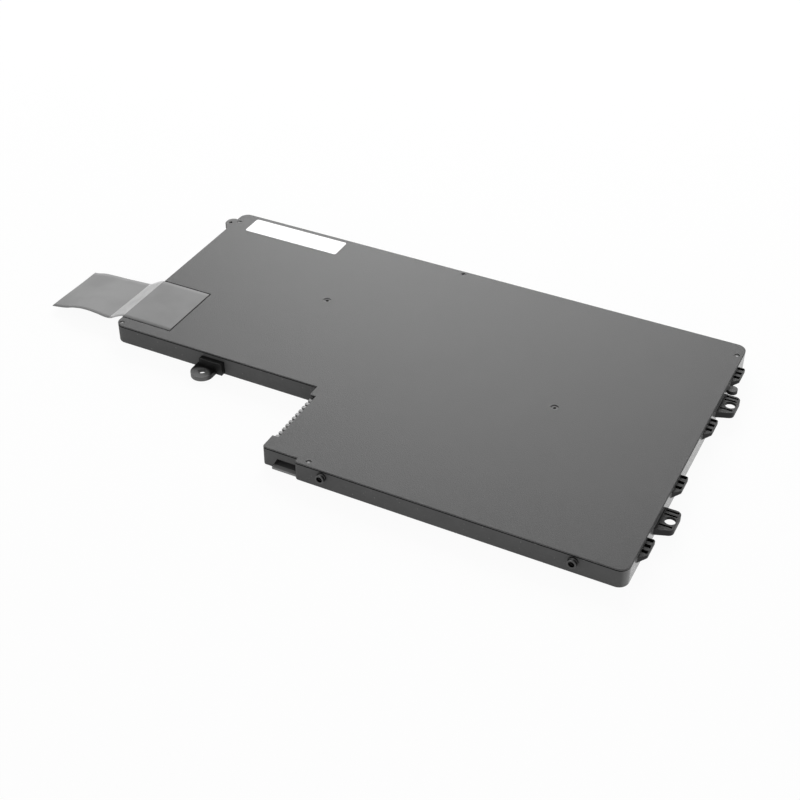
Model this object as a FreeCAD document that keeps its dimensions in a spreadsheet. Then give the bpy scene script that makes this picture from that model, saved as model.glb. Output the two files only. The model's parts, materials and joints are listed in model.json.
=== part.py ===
import FreeCAD, Part

import math
import os
import re

import Sketcher

# Flat laptop battery: a moulded tray with screw ears, ribbed lugs and pegs, three pouch cells in a row,
# a protection board in the front bay, a comb connector in the notch and a thin cover welded on top.
# Millimetres. X runs along the row of cells, Y from the connector side to the back, Z up.
# The origin is the middle of the housing's underside.

# Driving dimensions
SIZES = {
    "cell_width": 77.1,
    "cell_length": 92.6,
    "cell_thickness": 5.8,
    "cell_gap": 0.5,
    "divider_thickness": 1.5,
    "divider_headroom": 0.3,
    "wall_thickness": 1.3,
    "bottom_thickness": 0.8,
    "tape_thickness": 0.15,
    "foam_thickness": 0.65,
    "foam_width": 14.0,
    "foam_length": 60.0,
    "tape_margin": 8.0,
    "tab_channel": 7.5,
    "lip_depth": 0.3,
    "lip_clearance": 0.1,
    "flange_thickness": 0.8,
    "seam_height": 0.42,
    "seam_depth": 0.4,
    "cover_edge_radius": 0.22,
    "corner_radius": 4.0,
    "bottom_edge_radius": 0.5,
    "notch_width": 96.5,
    "notch_depth": 44.0,
    "setback_depth": 2.4,
    "setback_length": 15.0,
    "step_radius": 1.2,
    "ledge_reach": 1.0,
    "ledge_thickness": 1.0,
    "block_depth": 7.5,
    "recess_inset": 4.4,
    "recess_width": 9.9,
    "recess_height": 3.7,
    "recess_depth": 4.6,
    "recess_slant": 1.8,
    "contact_count": 10,
    "contact_pitch": 2.5,
    "contact_thickness": 0.4,
    "contact_inset": 1.7,
    "contact_rise": 0.3,
    "fork_height": 4.2,
    "fork_mouth_height": 1.0,
    "fork_mouth_depth": 2.0,
    "stem_height": 1.2,
    "tail_length": 3.0,
    "tail_thickness": 0.4,
    "slot_width": 1.1,
    "slot_depth": 4.7,
    "slot_bottom": 0.8,
    "comb_inset": 0.2,
    "comb_depth": 8.3,
    "comb_height": 6.4,
    "comb_clearance": 0.5,
    "tooth_radius": 0.6,
    "tooth_slope": 0.3,
    "window_depth": 2.7,
    "peg_radius": 1.85,
    "peg_bore_radius": 1.2,
    "peg_bore_depth": 1.7,
    "peg_length": 2.2,
    "peg_height": 5.8,
    "peg_from_right": 19.1,
    "peg_from_step": 11.6,
    "lug_length": 11.3,
    "lug_reach": 3.0,
    "lug_bottom": 4.6,
    "lug_top": 7.2,
    "lug_pitch": 37.5,
    "lug_from_front": 15.4,
    "lug_taper": 2.7,
    "lug_skin": 0.45,
    "lug_edge_height": 1.3,
    "lug_corner_radius": 1.0,
    "lug_groove_width": 1.6,
    "lug_groove_pitch": 3.1,
    "lug_groove_depth": 1.1,
    "lug_groove_shift": 1.5,
    "ear_back": 6.2,
    "ear_front": 7.0,
    "ear_reach": 6.6,
    "ear_bottom": 3.3,
    "ear_top": 5.8,
    "ear_slant": 2.4,
    "ear_corner_radius": 2.2,
    "ear_hole_radius": 2.1,
    "ear_hole_reach": 4.0,
    "ear_web": 1.2,
    "ear_core_inner": 2.9,
    "ear_core_outer": 1.6,
    "ear_core_front": 1.6,
    "ear_core_back": 3.9,
    "ear_groove_width": 0.9,
    "ear_groove_depth": 0.8,
    "ear_groove_outer": 4.9,
    "ear_groove_inner": 2.8,
    "ear_groove_front": 3.3,
    "ear_shift": 0.2,
    "snap_boss_radius": 2.1,
    "snap_boss_reach": 1.8,
    "snap_boss_back": 2.8,
    "snap_boss_top": 6.2,
    "front_ear_radius": 4.75,
    "front_ear_reach": 5.3,
    "front_ear_from_left": 46.2,
    "front_ear_bottom": 1.1,
    "front_ear_thickness": 1.9,
    "front_ear_hole_radius": 1.7,
    "ear_pad_width": 10.6,
    "ear_pad_reach": 2.6,
    "ear_pad_top": 6.4,
    "ear_pad_shift": 2.2,
    "back_ear_radius": 3.6,
    "back_ear_from_back": 9.8,
    "back_ear_corner_radius": 3.3,
    "back_ear_thickness": 1.8,
    "back_ear_flank": 6.0,
    "back_ear_flank_reach": 3.2,
    "back_ear_flank_end": 1.5,
    "back_hole_radius": 0.75,
    "back_hole_reach": 1.2,
    "back_hole_shift": 0.4,
    "dimple_radius": 1.6,
    "dimple_depth": 0.3,
    "dimple_pit_radius": 0.65,
    "dimple_pit_depth": 0.55,
    "left_dimple_from_left": 70.2,
    "left_dimple_from_notch": 55.8,
    "right_dimple_from_right": 55.4,
    "right_dimple_from_front": 73.6,
    "stake_radius": 1.1,
    "stake_inset": 2.3,
    "stake_from_corner": 7.9,
    "stake_from_step": 4.9,
    "back_stake_from_left": 113.4,
    "pull_tab_width": 30.5,
    "pull_tab_stuck": 23.2,
    "pull_tab_from_notch": 6.3,
    "pull_tab_thickness": 0.15,
    "pull_tab_margin": 0.25,
    "pull_tab_overhang": 0.6,
    "pull_tab_slope_run": 7.4,
    "pull_tab_slope_drop": 3.4,
    "pull_tab_level_run": 16.0,
    "pull_tab_level_drop": 0.4,
    "pull_tab_tip_run": 13.6,
    "pull_tab_tip_drop": 2.2,
    "pull_tab_bend_radius": 8.0,
    "pull_tab_crease_radius": 0.6,
    "label_length": 47.0,
    "label_width": 11.0,
    "label_thickness": 0.1,
    "label_from_left": 8.5,
    "label_from_back": 2.4,
    "label_radius": 1.0,
    "board_length": 100.0,
    "board_width": 24.0,
    "board_thickness": 0.8,
    "rib_from_board": 6.0,
    "rail_height": 0.6,
    "rail_width": 2.0,
    "pin_radius": 0.8,
    "pin_clearance": 0.1,
    "pin_inset": 4.0,
    "terrace_depth": 3.0,
    "terrace_thickness": 0.3,
    "terrace_margin": 4.0,
    "fold_thickness": 0.6,
    "fold_height": 3.4,
    "fold_margin": 3.0,
    "pouch_radius": 0.9,
    "tab_width": 6.0,
    "tab_length": 2.6,
    "tab_thickness": 0.2,
    "tab_spread": 15.0,
    "strip_thickness": 0.2,
    "bus_width": 2.4,
    "lane_width": 1.3,
    "lane_gap": 0.3,
    "leg_width": 4.0,
    "leg_landing": 3.0,
    "leg_ramp": 1.2,
    "leg_clearance": 0.3,
    "negative_leg_inset": 4.0,
    "first_link_leg_inset": 9.5,
    "second_link_leg_inset": 50.0,
    "positive_leg_inset": 2.0,
    "component_height": 1.2,
    "capacitor_count": 6,
    "capacitor_pitch": 5.0,
    "capacitor_length": 1.6,
    "capacitor_width": 0.8,
    "capacitor_height": 0.8,
    "capacitor_across": 24.0,
    "capacitor_along": 3.4,
    "insulator_thickness": 0.15,
    "insulator_margin": 1.0,
}

# Each component on the board: from the board's left edge, from its front edge, length and width
BOARD_COMPONENTS = {
    "fuel_gauge_chip": (24.0, 8.0, 9.0, 6.4),
    "protection_chip": (40.0, 9.0, 5.0, 4.4),
    "charge_switch": (52.0, 11.0, 6.0, 5.0),
    "discharge_switch": (61.0, 11.0, 6.0, 5.0),
    "chemical_fuse": (72.0, 10.0, 7.0, 5.6),
    "shunt_resistor": (13.0, 14.0, 6.4, 3.2),
    "thermistor": (86.0, 12.0, 2.0, 1.2),
}
for label, numbers in BOARD_COMPONENTS.items():
    for ending, number in zip(("across", "along", "length", "width"), numbers):
        SIZES[f"{label}_{ending}"] = number

# Sizes and places that follow from the driving dimensions
WORKED_OUT = {
    "case_length": "2 * wall_thickness + 3 * cell_width + 6 * cell_gap + 2 * divider_thickness",
    "bay_depth": "2 * wall_thickness + tab_channel + cell_length + cell_gap",
    "case_depth": "notch_depth + bay_depth",
    "cover_inside": "bottom_thickness + tape_thickness + cell_thickness + foam_thickness",
    "case_height": "cover_inside + lip_depth",
    "pack_height": "case_height + flange_thickness",
    "x_left": "-case_length / 2",
    "x_right": "case_length / 2",
    "y_front": "-case_depth / 2",
    "y_back": "case_depth / 2",
    "x_notch": "x_left + notch_width",
    "y_notch": "y_front + notch_depth",
    "x_step": "x_notch + setback_length",
    "y_setback": "y_front + setback_depth",
    "y_block": "y_setback + block_depth",
    "y_comb_front": "y_block + comb_clearance",
    "comb_length": "(contact_count + 1) * contact_pitch",
    "y_comb_back": "y_comb_front + comb_length",
    "y_comb_end": "y_comb_back + comb_clearance",
    "x_comb_tip": "x_notch + comb_inset",
    "x_comb_back": "x_comb_tip + comb_depth",
    "x_slot_end": "x_comb_tip + slot_depth",
    "comb_top": "bottom_thickness + comb_height",
    "board_bottom": "bottom_thickness + rail_height",
    "board_top": "board_bottom + board_thickness",
    "x_board": "x_comb_back",
    "y_board": "(y_comb_front + y_comb_back - board_width) / 2",
    "y_board_back": "y_board + board_width",
    "x_cells": "x_left + wall_thickness + cell_gap",
    "cell_pitch": "cell_width + 2 * cell_gap + divider_thickness",
    "y_cells": "y_notch + wall_thickness + tab_channel",
    "cell_bottom": "bottom_thickness + tape_thickness",
    "cell_top": "cell_bottom + cell_thickness",
    "tab_bottom": "cell_bottom + (terrace_thickness - tab_thickness) / 2",
    "strip_bottom": "tab_bottom + tab_thickness",
    "y_tab": "y_cells - terrace_depth - tab_length",
    "y_bus": "y_tab",
    "y_lane": "y_bus - lane_gap - lane_width",
    "fork_bottom": "bottom_thickness + slot_bottom + contact_rise",
    "x_fork": "x_comb_tip + contact_inset",
    "y_pull_tab": "y_notch + pull_tab_from_notch",
    "x_bend": "x_left - pull_tab_overhang",
    "x_crease": "x_bend - pull_tab_slope_run",
    "x_level_end": "x_crease - pull_tab_level_run",
    "x_flap_end": "x_level_end - pull_tab_tip_run",
    "z_crease": "pack_height - pull_tab_slope_drop",
    "z_level_end": "z_crease - pull_tab_level_drop",
    "z_flap_end": "z_level_end - pull_tab_tip_drop",
}

doc = FreeCAD.newDocument("laptop_battery")
sheet = doc.addObject("Spreadsheet::Sheet", "Sizes")
rows = list(SIZES.items()) + [(name, "=" + formula) for name, formula in WORKED_OUT.items()]
for row, (name, content) in enumerate(rows, 1):
    sheet.set(f"A{row}", name)
    sheet.set(f"B{row}", str(content))
    sheet.setAlias(f"B{row}", name)
doc.recompute()


def value(formula):
    """The number that a formula of sheet names stands for now."""
    return float(sheet.evalExpression(str(formula)))


def bound(formula):
    """The same formula, as another object of the document refers to it."""
    return re.sub(r"[a-z][a-z_]*", lambda word: "Sizes." + word.group(0), str(formula))


def new_body(label):
    """An empty body with the label that names the sub-part."""
    body = doc.addObject("PartDesign::Body", label)
    body.Label = label
    return body


def place(thing, across="0", along="0", up="0"):
    """Bind a sub-part's placement to the sheet."""
    for axis, formula in (("x", across), ("y", along), ("z", up)):
        thing.setExpression(f".Placement.Base.{axis}", bound(formula))


def new_sketch(body, name, plane="XY_Plane", lift="0"):
    """A sketch on one of the body's origin planes, lifted along the plane's normal."""
    sketch = body.newObject("Sketcher::SketchObject", name)
    support = [feature for feature in body.Origin.OriginFeatures if feature.Role == plane][0]
    sketch.AttachmentSupport = [(support, "")]
    sketch.MapMode = "FlatFace"
    sketch.setExpression(".AttachmentOffset.Base.z", bound(lift))
    return sketch


def hold(sketch, dimensions, links=()):
    """Add the links between points, then dimensions given as (constraint's leading arguments, formula)."""
    constraints = [Sketcher.Constraint(*lead, value(formula)) for lead, formula in dimensions]
    numbers = sketch.addConstraint(list(links) + constraints)[len(links):]
    for number, (lead, formula) in zip(numbers, dimensions):
        sketch.setExpression(f"Constraints[{number}]", bound(formula))


def from_origin(geometry, point, across, along):
    """The two dimensions that hold a point at two formulas."""
    return [
        (("DistanceX", -1, 1, geometry, point), across),
        (("DistanceY", -1, 1, geometry, point), along),
    ]


def toward(formula, other, length):
    """A formula moved by a length towards another one, or as it is where the two agree."""
    gap = value(other) - value(formula)
    if abs(gap) < 1e-6:
        return formula
    return f"{formula} + ({length})" if gap > 0 else f"{formula} - ({length})"


def corner_arc(start, end, heading_across):
    """A quarter circle that turns left from start to end, entered along X or along Y."""
    centre = FreeCAD.Vector(start.x, end.y, 0) if heading_across else FreeCAD.Vector(end.x, start.y, 0)
    opening = math.atan2(start.y - centre.y, start.x - centre.x)
    rim = Part.Circle(centre, FreeCAD.Vector(0, 0, 1), (start - centre).Length)
    return Part.ArcOfCircle(rim, opening, opening + math.pi / 2)


def polygon(sketch, corners):
    """A closed outline through corners given as pairs of formulas.

    A corner with a radius as its third formula is rounded. The sides beside it run along X or Y and
    the outline turns left there.
    """
    stops = []
    for index, (across, along, *rounding) in enumerate(corners):
        before, after = corners[index - 1], corners[(index + 1) % len(corners)]
        for radius in rounding:
            heading_across = abs(value(before[1]) - value(along)) < 1e-6
            stops.append((toward(across, before[0], radius), toward(along, before[1], radius),
                          radius, heading_across))
            across, along = toward(across, after[0], radius), toward(along, after[1], radius)
        stops.append((across, along, None, None))

    first = sketch.GeometryCount
    points = [FreeCAD.Vector(value(stop[0]), value(stop[1]), 0) for stop in stops]
    sides = []
    links = []
    dimensions = []
    for index, (across, along, radius, heading_across) in enumerate(stops):
        follower = (index + 1) % len(stops)
        start, end = points[index], points[follower]
        sides.append(corner_arc(start, end, heading_across) if radius else Part.LineSegment(start, end))
        links.append(Sketcher.Constraint("Coincident", first + index, 2, first + follower, 1))
        dimensions += from_origin(first + index, 1, across, along)
        if radius:
            dimensions.append((("Radius", first + index), radius))
    sketch.addGeometry(sides, False)
    hold(sketch, dimensions, links)


def rectangle(sketch, left, right, low, high):
    """A closed rectangle between four formulas."""
    polygon(sketch, [(left, low), (right, low), (right, high), (left, high)])


def circle(sketch, across, along, radius):
    """A circle with its centre and radius held at formulas."""
    centre = FreeCAD.Vector(value(across), value(along), 0)
    number = sketch.addGeometry(Part.Circle(centre, FreeCAD.Vector(0, 0, 1), value(radius)), False)
    hold(sketch, from_origin(number, 3, across, along) + [(("Radius", number), radius)])


def pad(body, sketch, length, downward=False):
    """Raise a sketch into solid material."""
    feature = body.newObject("PartDesign::Pad", sketch.Name + "_pad")
    feature.Profile = sketch
    feature.setExpression("Length", bound(length))
    feature.Reversed = downward
    return feature


def pocket(body, sketch, length, upward=False):
    """Cut a sketch out of the body."""
    feature = body.newObject("PartDesign::Pocket", sketch.Name + "_pocket")
    feature.Profile = sketch
    feature.setExpression("Length", bound(length))
    feature.Reversed = upward
    return feature


def in_a_row(body, feature, sketch, axis, length, count):
    """Repeat a feature along an axis of its sketch over a length."""
    row = body.newObject("PartDesign::LinearPattern", feature.Name + "_row")
    row.Originals = [feature]
    row.Direction = (sketch, [axis])
    row.setExpression("Length", bound(length))
    row.setExpression("Occurrences", bound(count))
    body.Tip = row
    return row


def upright_edges(feature, places):
    """Names of the edges along Z at the given places."""
    doc.recompute()
    spots = [(value(across), value(along)) for across, along in places]
    names = []
    for number, edge in enumerate(feature.Shape.Edges, 1):
        start, end = edge.Vertexes[0].Point, edge.Vertexes[-1].Point
        level = abs(start.x - end.x) + abs(start.y - end.y) < 1e-6 < abs(start.z - end.z)
        there = any(abs(start.x - x) + abs(start.y - y) < 1e-4 for x, y in spots)
        if level and there:
            names.append(f"Edge{number}")
    return names


def flat_edges(feature, height):
    """Names of the edges that lie wholly at one height."""
    doc.recompute()
    names = []
    for number, edge in enumerate(feature.Shape.Edges, 1):
        box = edge.BoundBox
        if abs(box.ZMin - value(height)) < 1e-4 and abs(box.ZMax - value(height)) < 1e-4:
            names.append(f"Edge{number}")
    return names


def level_edges(feature, places):
    """Names of the edges along Y at the given places in X and Z."""
    doc.recompute()
    spots = [(value(across), value(up)) for across, up in places]
    names = []
    for number, edge in enumerate(feature.Shape.Edges, 1):
        start, end = edge.Vertexes[0].Point, edge.Vertexes[-1].Point
        along = abs(start.x - end.x) + abs(start.z - end.z) < 1e-6 < abs(start.y - end.y)
        if along and any(abs(start.x - x) + abs(start.z - z) < 1e-4 for x, z in spots):
            names.append(f"Edge{number}")
    return names


def fillet(body, feature, names, radius, name):
    """Round the named edges of a feature."""
    rounded = body.newObject("PartDesign::Fillet", name)
    rounded.Base = (feature, names)
    rounded.setExpression("Radius", bound(radius))
    return rounded


def pack_outline(inset):
    """The outline that the tray's walls and the cover share, drawn in by an inset."""
    corner = f"corner_radius - {inset}"
    step = f"step_radius - {inset}"
    return [
        (f"x_left + {inset}", f"y_notch + {inset}", corner),
        (f"x_notch + {inset}", f"y_notch + {inset}"),
        (f"x_notch + {inset}", f"y_setback + {inset}", step),
        (f"x_step + {inset}", f"y_setback + {inset}"),
        (f"x_step + {inset}", f"y_front + {inset}", step),
        (f"x_right - {inset}", f"y_front + {inset}", corner),
        (f"x_right - {inset}", f"y_back - {inset}", corner),
        (f"x_left + {inset}", f"y_back - {inset}", corner),
    ]


def inner_outline(margin):
    """The tray's inside, drawn in by a margin, from the cells' bay to the board's bay."""
    inset = f"wall_thickness + {margin}"
    corner = f"corner_radius - ({inset})"
    return [
        (f"x_left + {inset}", f"y_notch + {inset}", corner),
        (f"x_notch + {inset}", f"y_notch + {inset}"),
        (f"x_notch + {inset}", f"y_block + {margin}"),
        (f"x_step + {inset}", f"y_block + {margin}"),
        (f"x_step + {inset}", f"y_front + {inset}"),
        (f"x_right - ({inset})", f"y_front + {inset}", corner),
        (f"x_right - ({inset})", f"y_back - ({inset})", corner),
        (f"x_left + {inset}", f"y_back - ({inset})", corner),
    ]


# Where the lugs, the ears and the pegs stand along their walls
LUG_CENTRES = [f"y_front + lug_from_front + {index} * lug_pitch" for index in range(4)]
EAR_CENTRES = [f"y_front + lug_from_front + {index} * lug_pitch + ear_shift" for index in (0.5, 2.5)]
PEG_PLACES = ["x_right - peg_from_right", "x_step + peg_from_step"]
FRONT_EAR = ("x_left + front_ear_from_left", "y_notch - front_ear_reach")
BACK_HOLE = ("x_left - back_hole_reach", "y_back - back_ear_from_back - back_hole_shift")

# Locating pins of the board, then the two dimples in the cover's field and the five small ones at its edge
BOARD_PINS = [
    ("x_board + pin_inset + rail_width", "y_board + rail_width / 2"),
    ("x_board + board_length - pin_inset", "y_board + rail_width / 2"),
]
COVER_DIMPLES = [
    ("x_left + left_dimple_from_left", "y_notch + left_dimple_from_notch"),
    ("x_right - right_dimple_from_right", "y_front + right_dimple_from_front"),
]
EDGE_STAKES = [
    ("x_left + stake_inset", "y_notch + stake_inset"),
    ("x_left + stake_inset", "y_back - stake_from_corner"),
    ("x_right - stake_inset", "y_back - stake_from_corner"),
    ("x_step + stake_from_step", "y_front + stake_inset"),
    ("x_left + back_stake_from_left", "y_back - stake_inset"),
]


def back_ear(body, name, lift, thickness):
    """The rounded ear at the back of the left wall and the slanted flank beside it."""
    centre = "y_back - back_ear_from_back"
    root = "x_left + 0.5 * wall_thickness"
    tip = "x_left - back_ear_radius"
    ear = new_sketch(body, name, lift=lift)
    polygon(ear, [
        (tip, f"{centre} - back_ear_radius", "back_ear_corner_radius"),
        (root, f"{centre} - back_ear_radius"),
        (root, f"{centre} + back_ear_radius"),
        (tip, f"{centre} + back_ear_radius", "back_ear_corner_radius"),
    ])
    pad(body, ear, thickness)
    flank = new_sketch(body, name + "_flank", lift=lift)
    polygon(flank, [
        (root, f"{centre} - back_ear_flank"),
        ("x_left", f"{centre} - back_ear_flank"),
        ("x_left - back_ear_flank_reach", f"{centre} - back_ear_flank_end"),
        (root, centre),
    ])
    return pad(body, flank, thickness)


def make_lower_case():
    """The moulded tray: floor, walls, dividers, board rails, pegs, lugs and ears in one piece."""
    body = new_body("lower_case")

    walls = new_sketch(body, "case_walls")
    polygon(walls, pack_outline("0"))
    block = pad(body, walls, "case_height")
    fillet(body, block, flat_edges(block, "0"), "bottom_edge_radius", "case_bottom_edge")
    hollow = new_sketch(body, "case_hollow", lift="case_height")
    polygon(hollow, inner_outline("0"))
    pocket(body, hollow, "case_height - bottom_thickness")

    # The connector's gap in the notch wall, down to the floor
    gap = new_sketch(body, "connector_gap", lift="case_height")
    rectangle(gap, "x_notch - wall_thickness", "x_notch + wall_thickness", "y_block", "y_comb_end")
    pocket(body, gap, "case_height - bottom_thickness")

    # A thin ledge in front of the connector block
    ledge = new_sketch(body, "block_ledge")
    ledge_left = "x_notch + recess_inset"
    ledge_back = "y_setback + wall_thickness"
    rectangle(ledge, ledge_left, "x_step + step_radius", "y_setback - ledge_reach", ledge_back)
    pad(body, ledge, "ledge_thickness")

    # The latch recess in the connector block's front face
    recess = new_sketch(body, "latch_recess", "XZ_Plane", "-y_setback")
    recess_right = f"{ledge_left} + recess_width"
    recess_top = "ledge_thickness + recess_height"
    polygon(recess, [
        (ledge_left, "ledge_thickness"),
        (recess_right, "ledge_thickness"),
        (recess_right, recess_top),
        (f"{ledge_left} + recess_slant", recess_top),
    ])
    pocket(body, recess, "recess_depth")

    # Dividers between the cells
    dividers = new_sketch(body, "cell_dividers")
    for index in (1, 2):
        left = f"x_cells + {index} * cell_pitch - cell_gap - divider_thickness"
        rectangle(dividers, left, f"{left} + divider_thickness", "y_cells", "y_back - 0.5 * wall_thickness")
    pad(body, dividers, "cell_top - divider_headroom")

    # A rib across the front bay, past the end of the board
    rib = new_sketch(body, "bay_rib")
    rib_left = "x_board + board_length + rib_from_board"
    rib_right = f"{rib_left} + divider_thickness"
    rectangle(rib, rib_left, rib_right, "y_front + 0.5 * wall_thickness", "y_board_back")
    pad(body, rib, "cell_top - divider_headroom")

    # Rails and locating pins under the protection board
    rails = new_sketch(body, "board_rails")
    for low in ("y_board", "y_board_back - rail_width"):
        rectangle(rails, "x_board + rail_width", "x_board + board_length", low, f"{low} + rail_width")
    pad(body, rails, "board_bottom")
    pins = new_sketch(body, "board_pins", lift="board_bottom")
    for across, along in BOARD_PINS:
        circle(pins, across, along, "pin_radius")
    pad(body, pins, "board_thickness")

    # Hollow pegs on the front wall
    pegs = new_sketch(body, "front_pegs", "XZ_Plane", "-y_front - 0.5 * wall_thickness")
    for across in PEG_PLACES:
        circle(pegs, across, "peg_height", "peg_radius")
    pad(body, pegs, "peg_length + 0.5 * wall_thickness")
    bores = new_sketch(body, "peg_bores", "XZ_Plane", "-y_front + peg_length")
    for across in PEG_PLACES:
        circle(bores, across, "peg_height", "peg_bore_radius")
    pocket(body, bores, "peg_bore_depth")

    # Lugs on the right wall, cored out by grooves behind a thin skin
    lugs = new_sketch(body, "side_lugs", lift="lug_bottom")
    for centre in LUG_CENTRES:
        polygon(lugs, [
            ("x_right - 0.5 * wall_thickness", f"{centre} - 0.5 * lug_length"),
            ("x_right", f"{centre} - 0.5 * lug_length"),
            ("x_right + lug_reach", f"{centre} - 0.5 * lug_length + lug_taper"),
            ("x_right + lug_reach", f"{centre} + 0.5 * lug_length"),
            ("x_right - 0.5 * wall_thickness", f"{centre} + 0.5 * lug_length"),
        ])
    lug_pad = pad(body, lugs, "lug_top - lug_bottom")
    lug_tip = "x_right + lug_reach"
    lug_corners = [(lug_tip, f"{centre} + 0.5 * lug_length") for centre in LUG_CENTRES]
    lug_corners += [(lug_tip, f"{centre} - 0.5 * lug_length + lug_taper") for centre in LUG_CENTRES]
    fillet(body, lug_pad, upright_edges(lug_pad, lug_corners), "lug_corner_radius", "lug_corners")
    grooves = new_sketch(body, "lug_grooves", lift="lug_top")
    for centre in LUG_CENTRES:
        for index in (-1, 0, 1):
            middle = f"{centre} + lug_groove_shift + {index} * lug_groove_pitch"
            low = f"{middle} - 0.5 * lug_groove_width"
            right = "x_right + lug_reach - lug_skin"
            rectangle(grooves, "x_right", right, low, f"{low} + lug_groove_width")
    pocket(body, grooves, "lug_groove_depth")

    # The lugs thin out from below towards their edge
    undercut = new_sketch(body, "lug_undercut", "XZ_Plane", "-y_front")
    polygon(undercut, [
        ("x_right", "lug_bottom"),
        ("x_right + 2 * lug_reach", "lug_bottom"),
        ("x_right + 2 * lug_reach", "lug_top - lug_edge_height"),
        ("x_right + lug_reach", "lug_top - lug_edge_height"),
    ])
    pocket(body, undercut, "case_depth")

    # Screw ears on the right wall, with a slanted front side and a core from below
    ears = new_sketch(body, "side_ears", lift="ear_bottom")
    for centre in EAR_CENTRES:
        polygon(ears, [
            ("x_right - 0.5 * wall_thickness", f"{centre} - ear_front"),
            ("x_right", f"{centre} - ear_front"),
            ("x_right + ear_reach", f"{centre} - ear_front + ear_slant"),
            ("x_right + ear_reach", f"{centre} + ear_back"),
            ("x_right - 0.5 * wall_thickness", f"{centre} + ear_back"),
        ])
    ear_pad = pad(body, ears, "ear_top - ear_bottom")
    ear_corners = [("x_right + ear_reach", f"{centre} + ear_back") for centre in EAR_CENTRES]
    ear_corners += [("x_right + ear_reach", f"{centre} - ear_front + ear_slant") for centre in EAR_CENTRES]
    fillet(body, ear_pad, upright_edges(ear_pad, ear_corners), "ear_corner_radius", "ear_corners")
    ear_cores = new_sketch(body, "ear_grooves", lift="ear_top")
    for centre in EAR_CENTRES:
        for offset in ("ear_groove_outer", "ear_groove_inner", "-ear_groove_front"):
            low = f"{centre} - 0.5 * ear_groove_width + {offset}"
            left = "x_right + ear_groove_width"
            right = "x_right + ear_reach - ear_groove_width"
            rectangle(ear_cores, left, right, low, f"{low} + ear_groove_width")
    pocket(body, ear_cores, "ear_groove_depth")
    ear_holes = new_sketch(body, "ear_holes", lift="ear_top")
    ear_seats = new_sketch(body, "ear_seats", lift="ear_bottom")
    hole_across = "x_right + ear_hole_reach"
    for centre in EAR_CENTRES:
        circle(ear_holes, hole_across, centre, "ear_hole_radius")
        rectangle(ear_seats, f"{hole_across} - ear_core_inner", f"{hole_across} + ear_core_outer",
                  f"{centre} - ear_core_front", f"{centre} + ear_core_back")
    pocket(body, ear_holes, "ear_top - ear_bottom")
    pocket(body, ear_seats, "ear_top - ear_bottom - ear_web", upward=True)

    # A round snap boss between the last lug and its ear
    boss = new_sketch(body, "snap_boss", lift="lug_bottom")
    boss_along = f"{LUG_CENTRES[3]} - 0.5 * lug_length - snap_boss_back"
    circle(boss, "x_right + snap_boss_reach", boss_along, "snap_boss_radius")
    pad(body, boss, "snap_boss_top - lug_bottom")

    # The round screw ear in the notch, on a pad that stands off the wall
    ear_pad_sketch = new_sketch(body, "front_ear_pad", lift="front_ear_bottom")
    pad_left = f"{FRONT_EAR[0]} + ear_pad_shift - 0.5 * ear_pad_width"
    pad_right = f"{pad_left} + ear_pad_width"
    pad_back = "y_notch + 0.5 * wall_thickness"
    rectangle(ear_pad_sketch, pad_left, pad_right, "y_notch - ear_pad_reach", pad_back)
    pad(body, ear_pad_sketch, "ear_pad_top - front_ear_bottom")
    arm = new_sketch(body, "front_ear_arm", lift="front_ear_bottom")
    arm_left = f"{FRONT_EAR[0]} - front_ear_radius"
    rectangle(arm, arm_left, f"{arm_left} + 2 * front_ear_radius", FRONT_EAR[1], "y_notch")
    pad(body, arm, "front_ear_thickness")
    disc = new_sketch(body, "front_ear_disc", lift="front_ear_bottom")
    circle(disc, *FRONT_EAR, "front_ear_radius")
    pad(body, disc, "front_ear_thickness")
    hole = new_sketch(body, "front_ear_hole", lift="front_ear_bottom + front_ear_thickness")
    circle(hole, *FRONT_EAR, "front_ear_hole_radius")
    pocket(body, hole, "front_ear_thickness")

    # The locating ear at the back of the left wall
    back_ear(body, "back_ear", "case_height - back_ear_thickness", "back_ear_thickness")
    locating = new_sketch(body, "back_ear_hole", lift="case_height")
    circle(locating, *BACK_HOLE, "back_hole_radius")
    pocket(body, locating, "back_ear_thickness")
    return body


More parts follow.
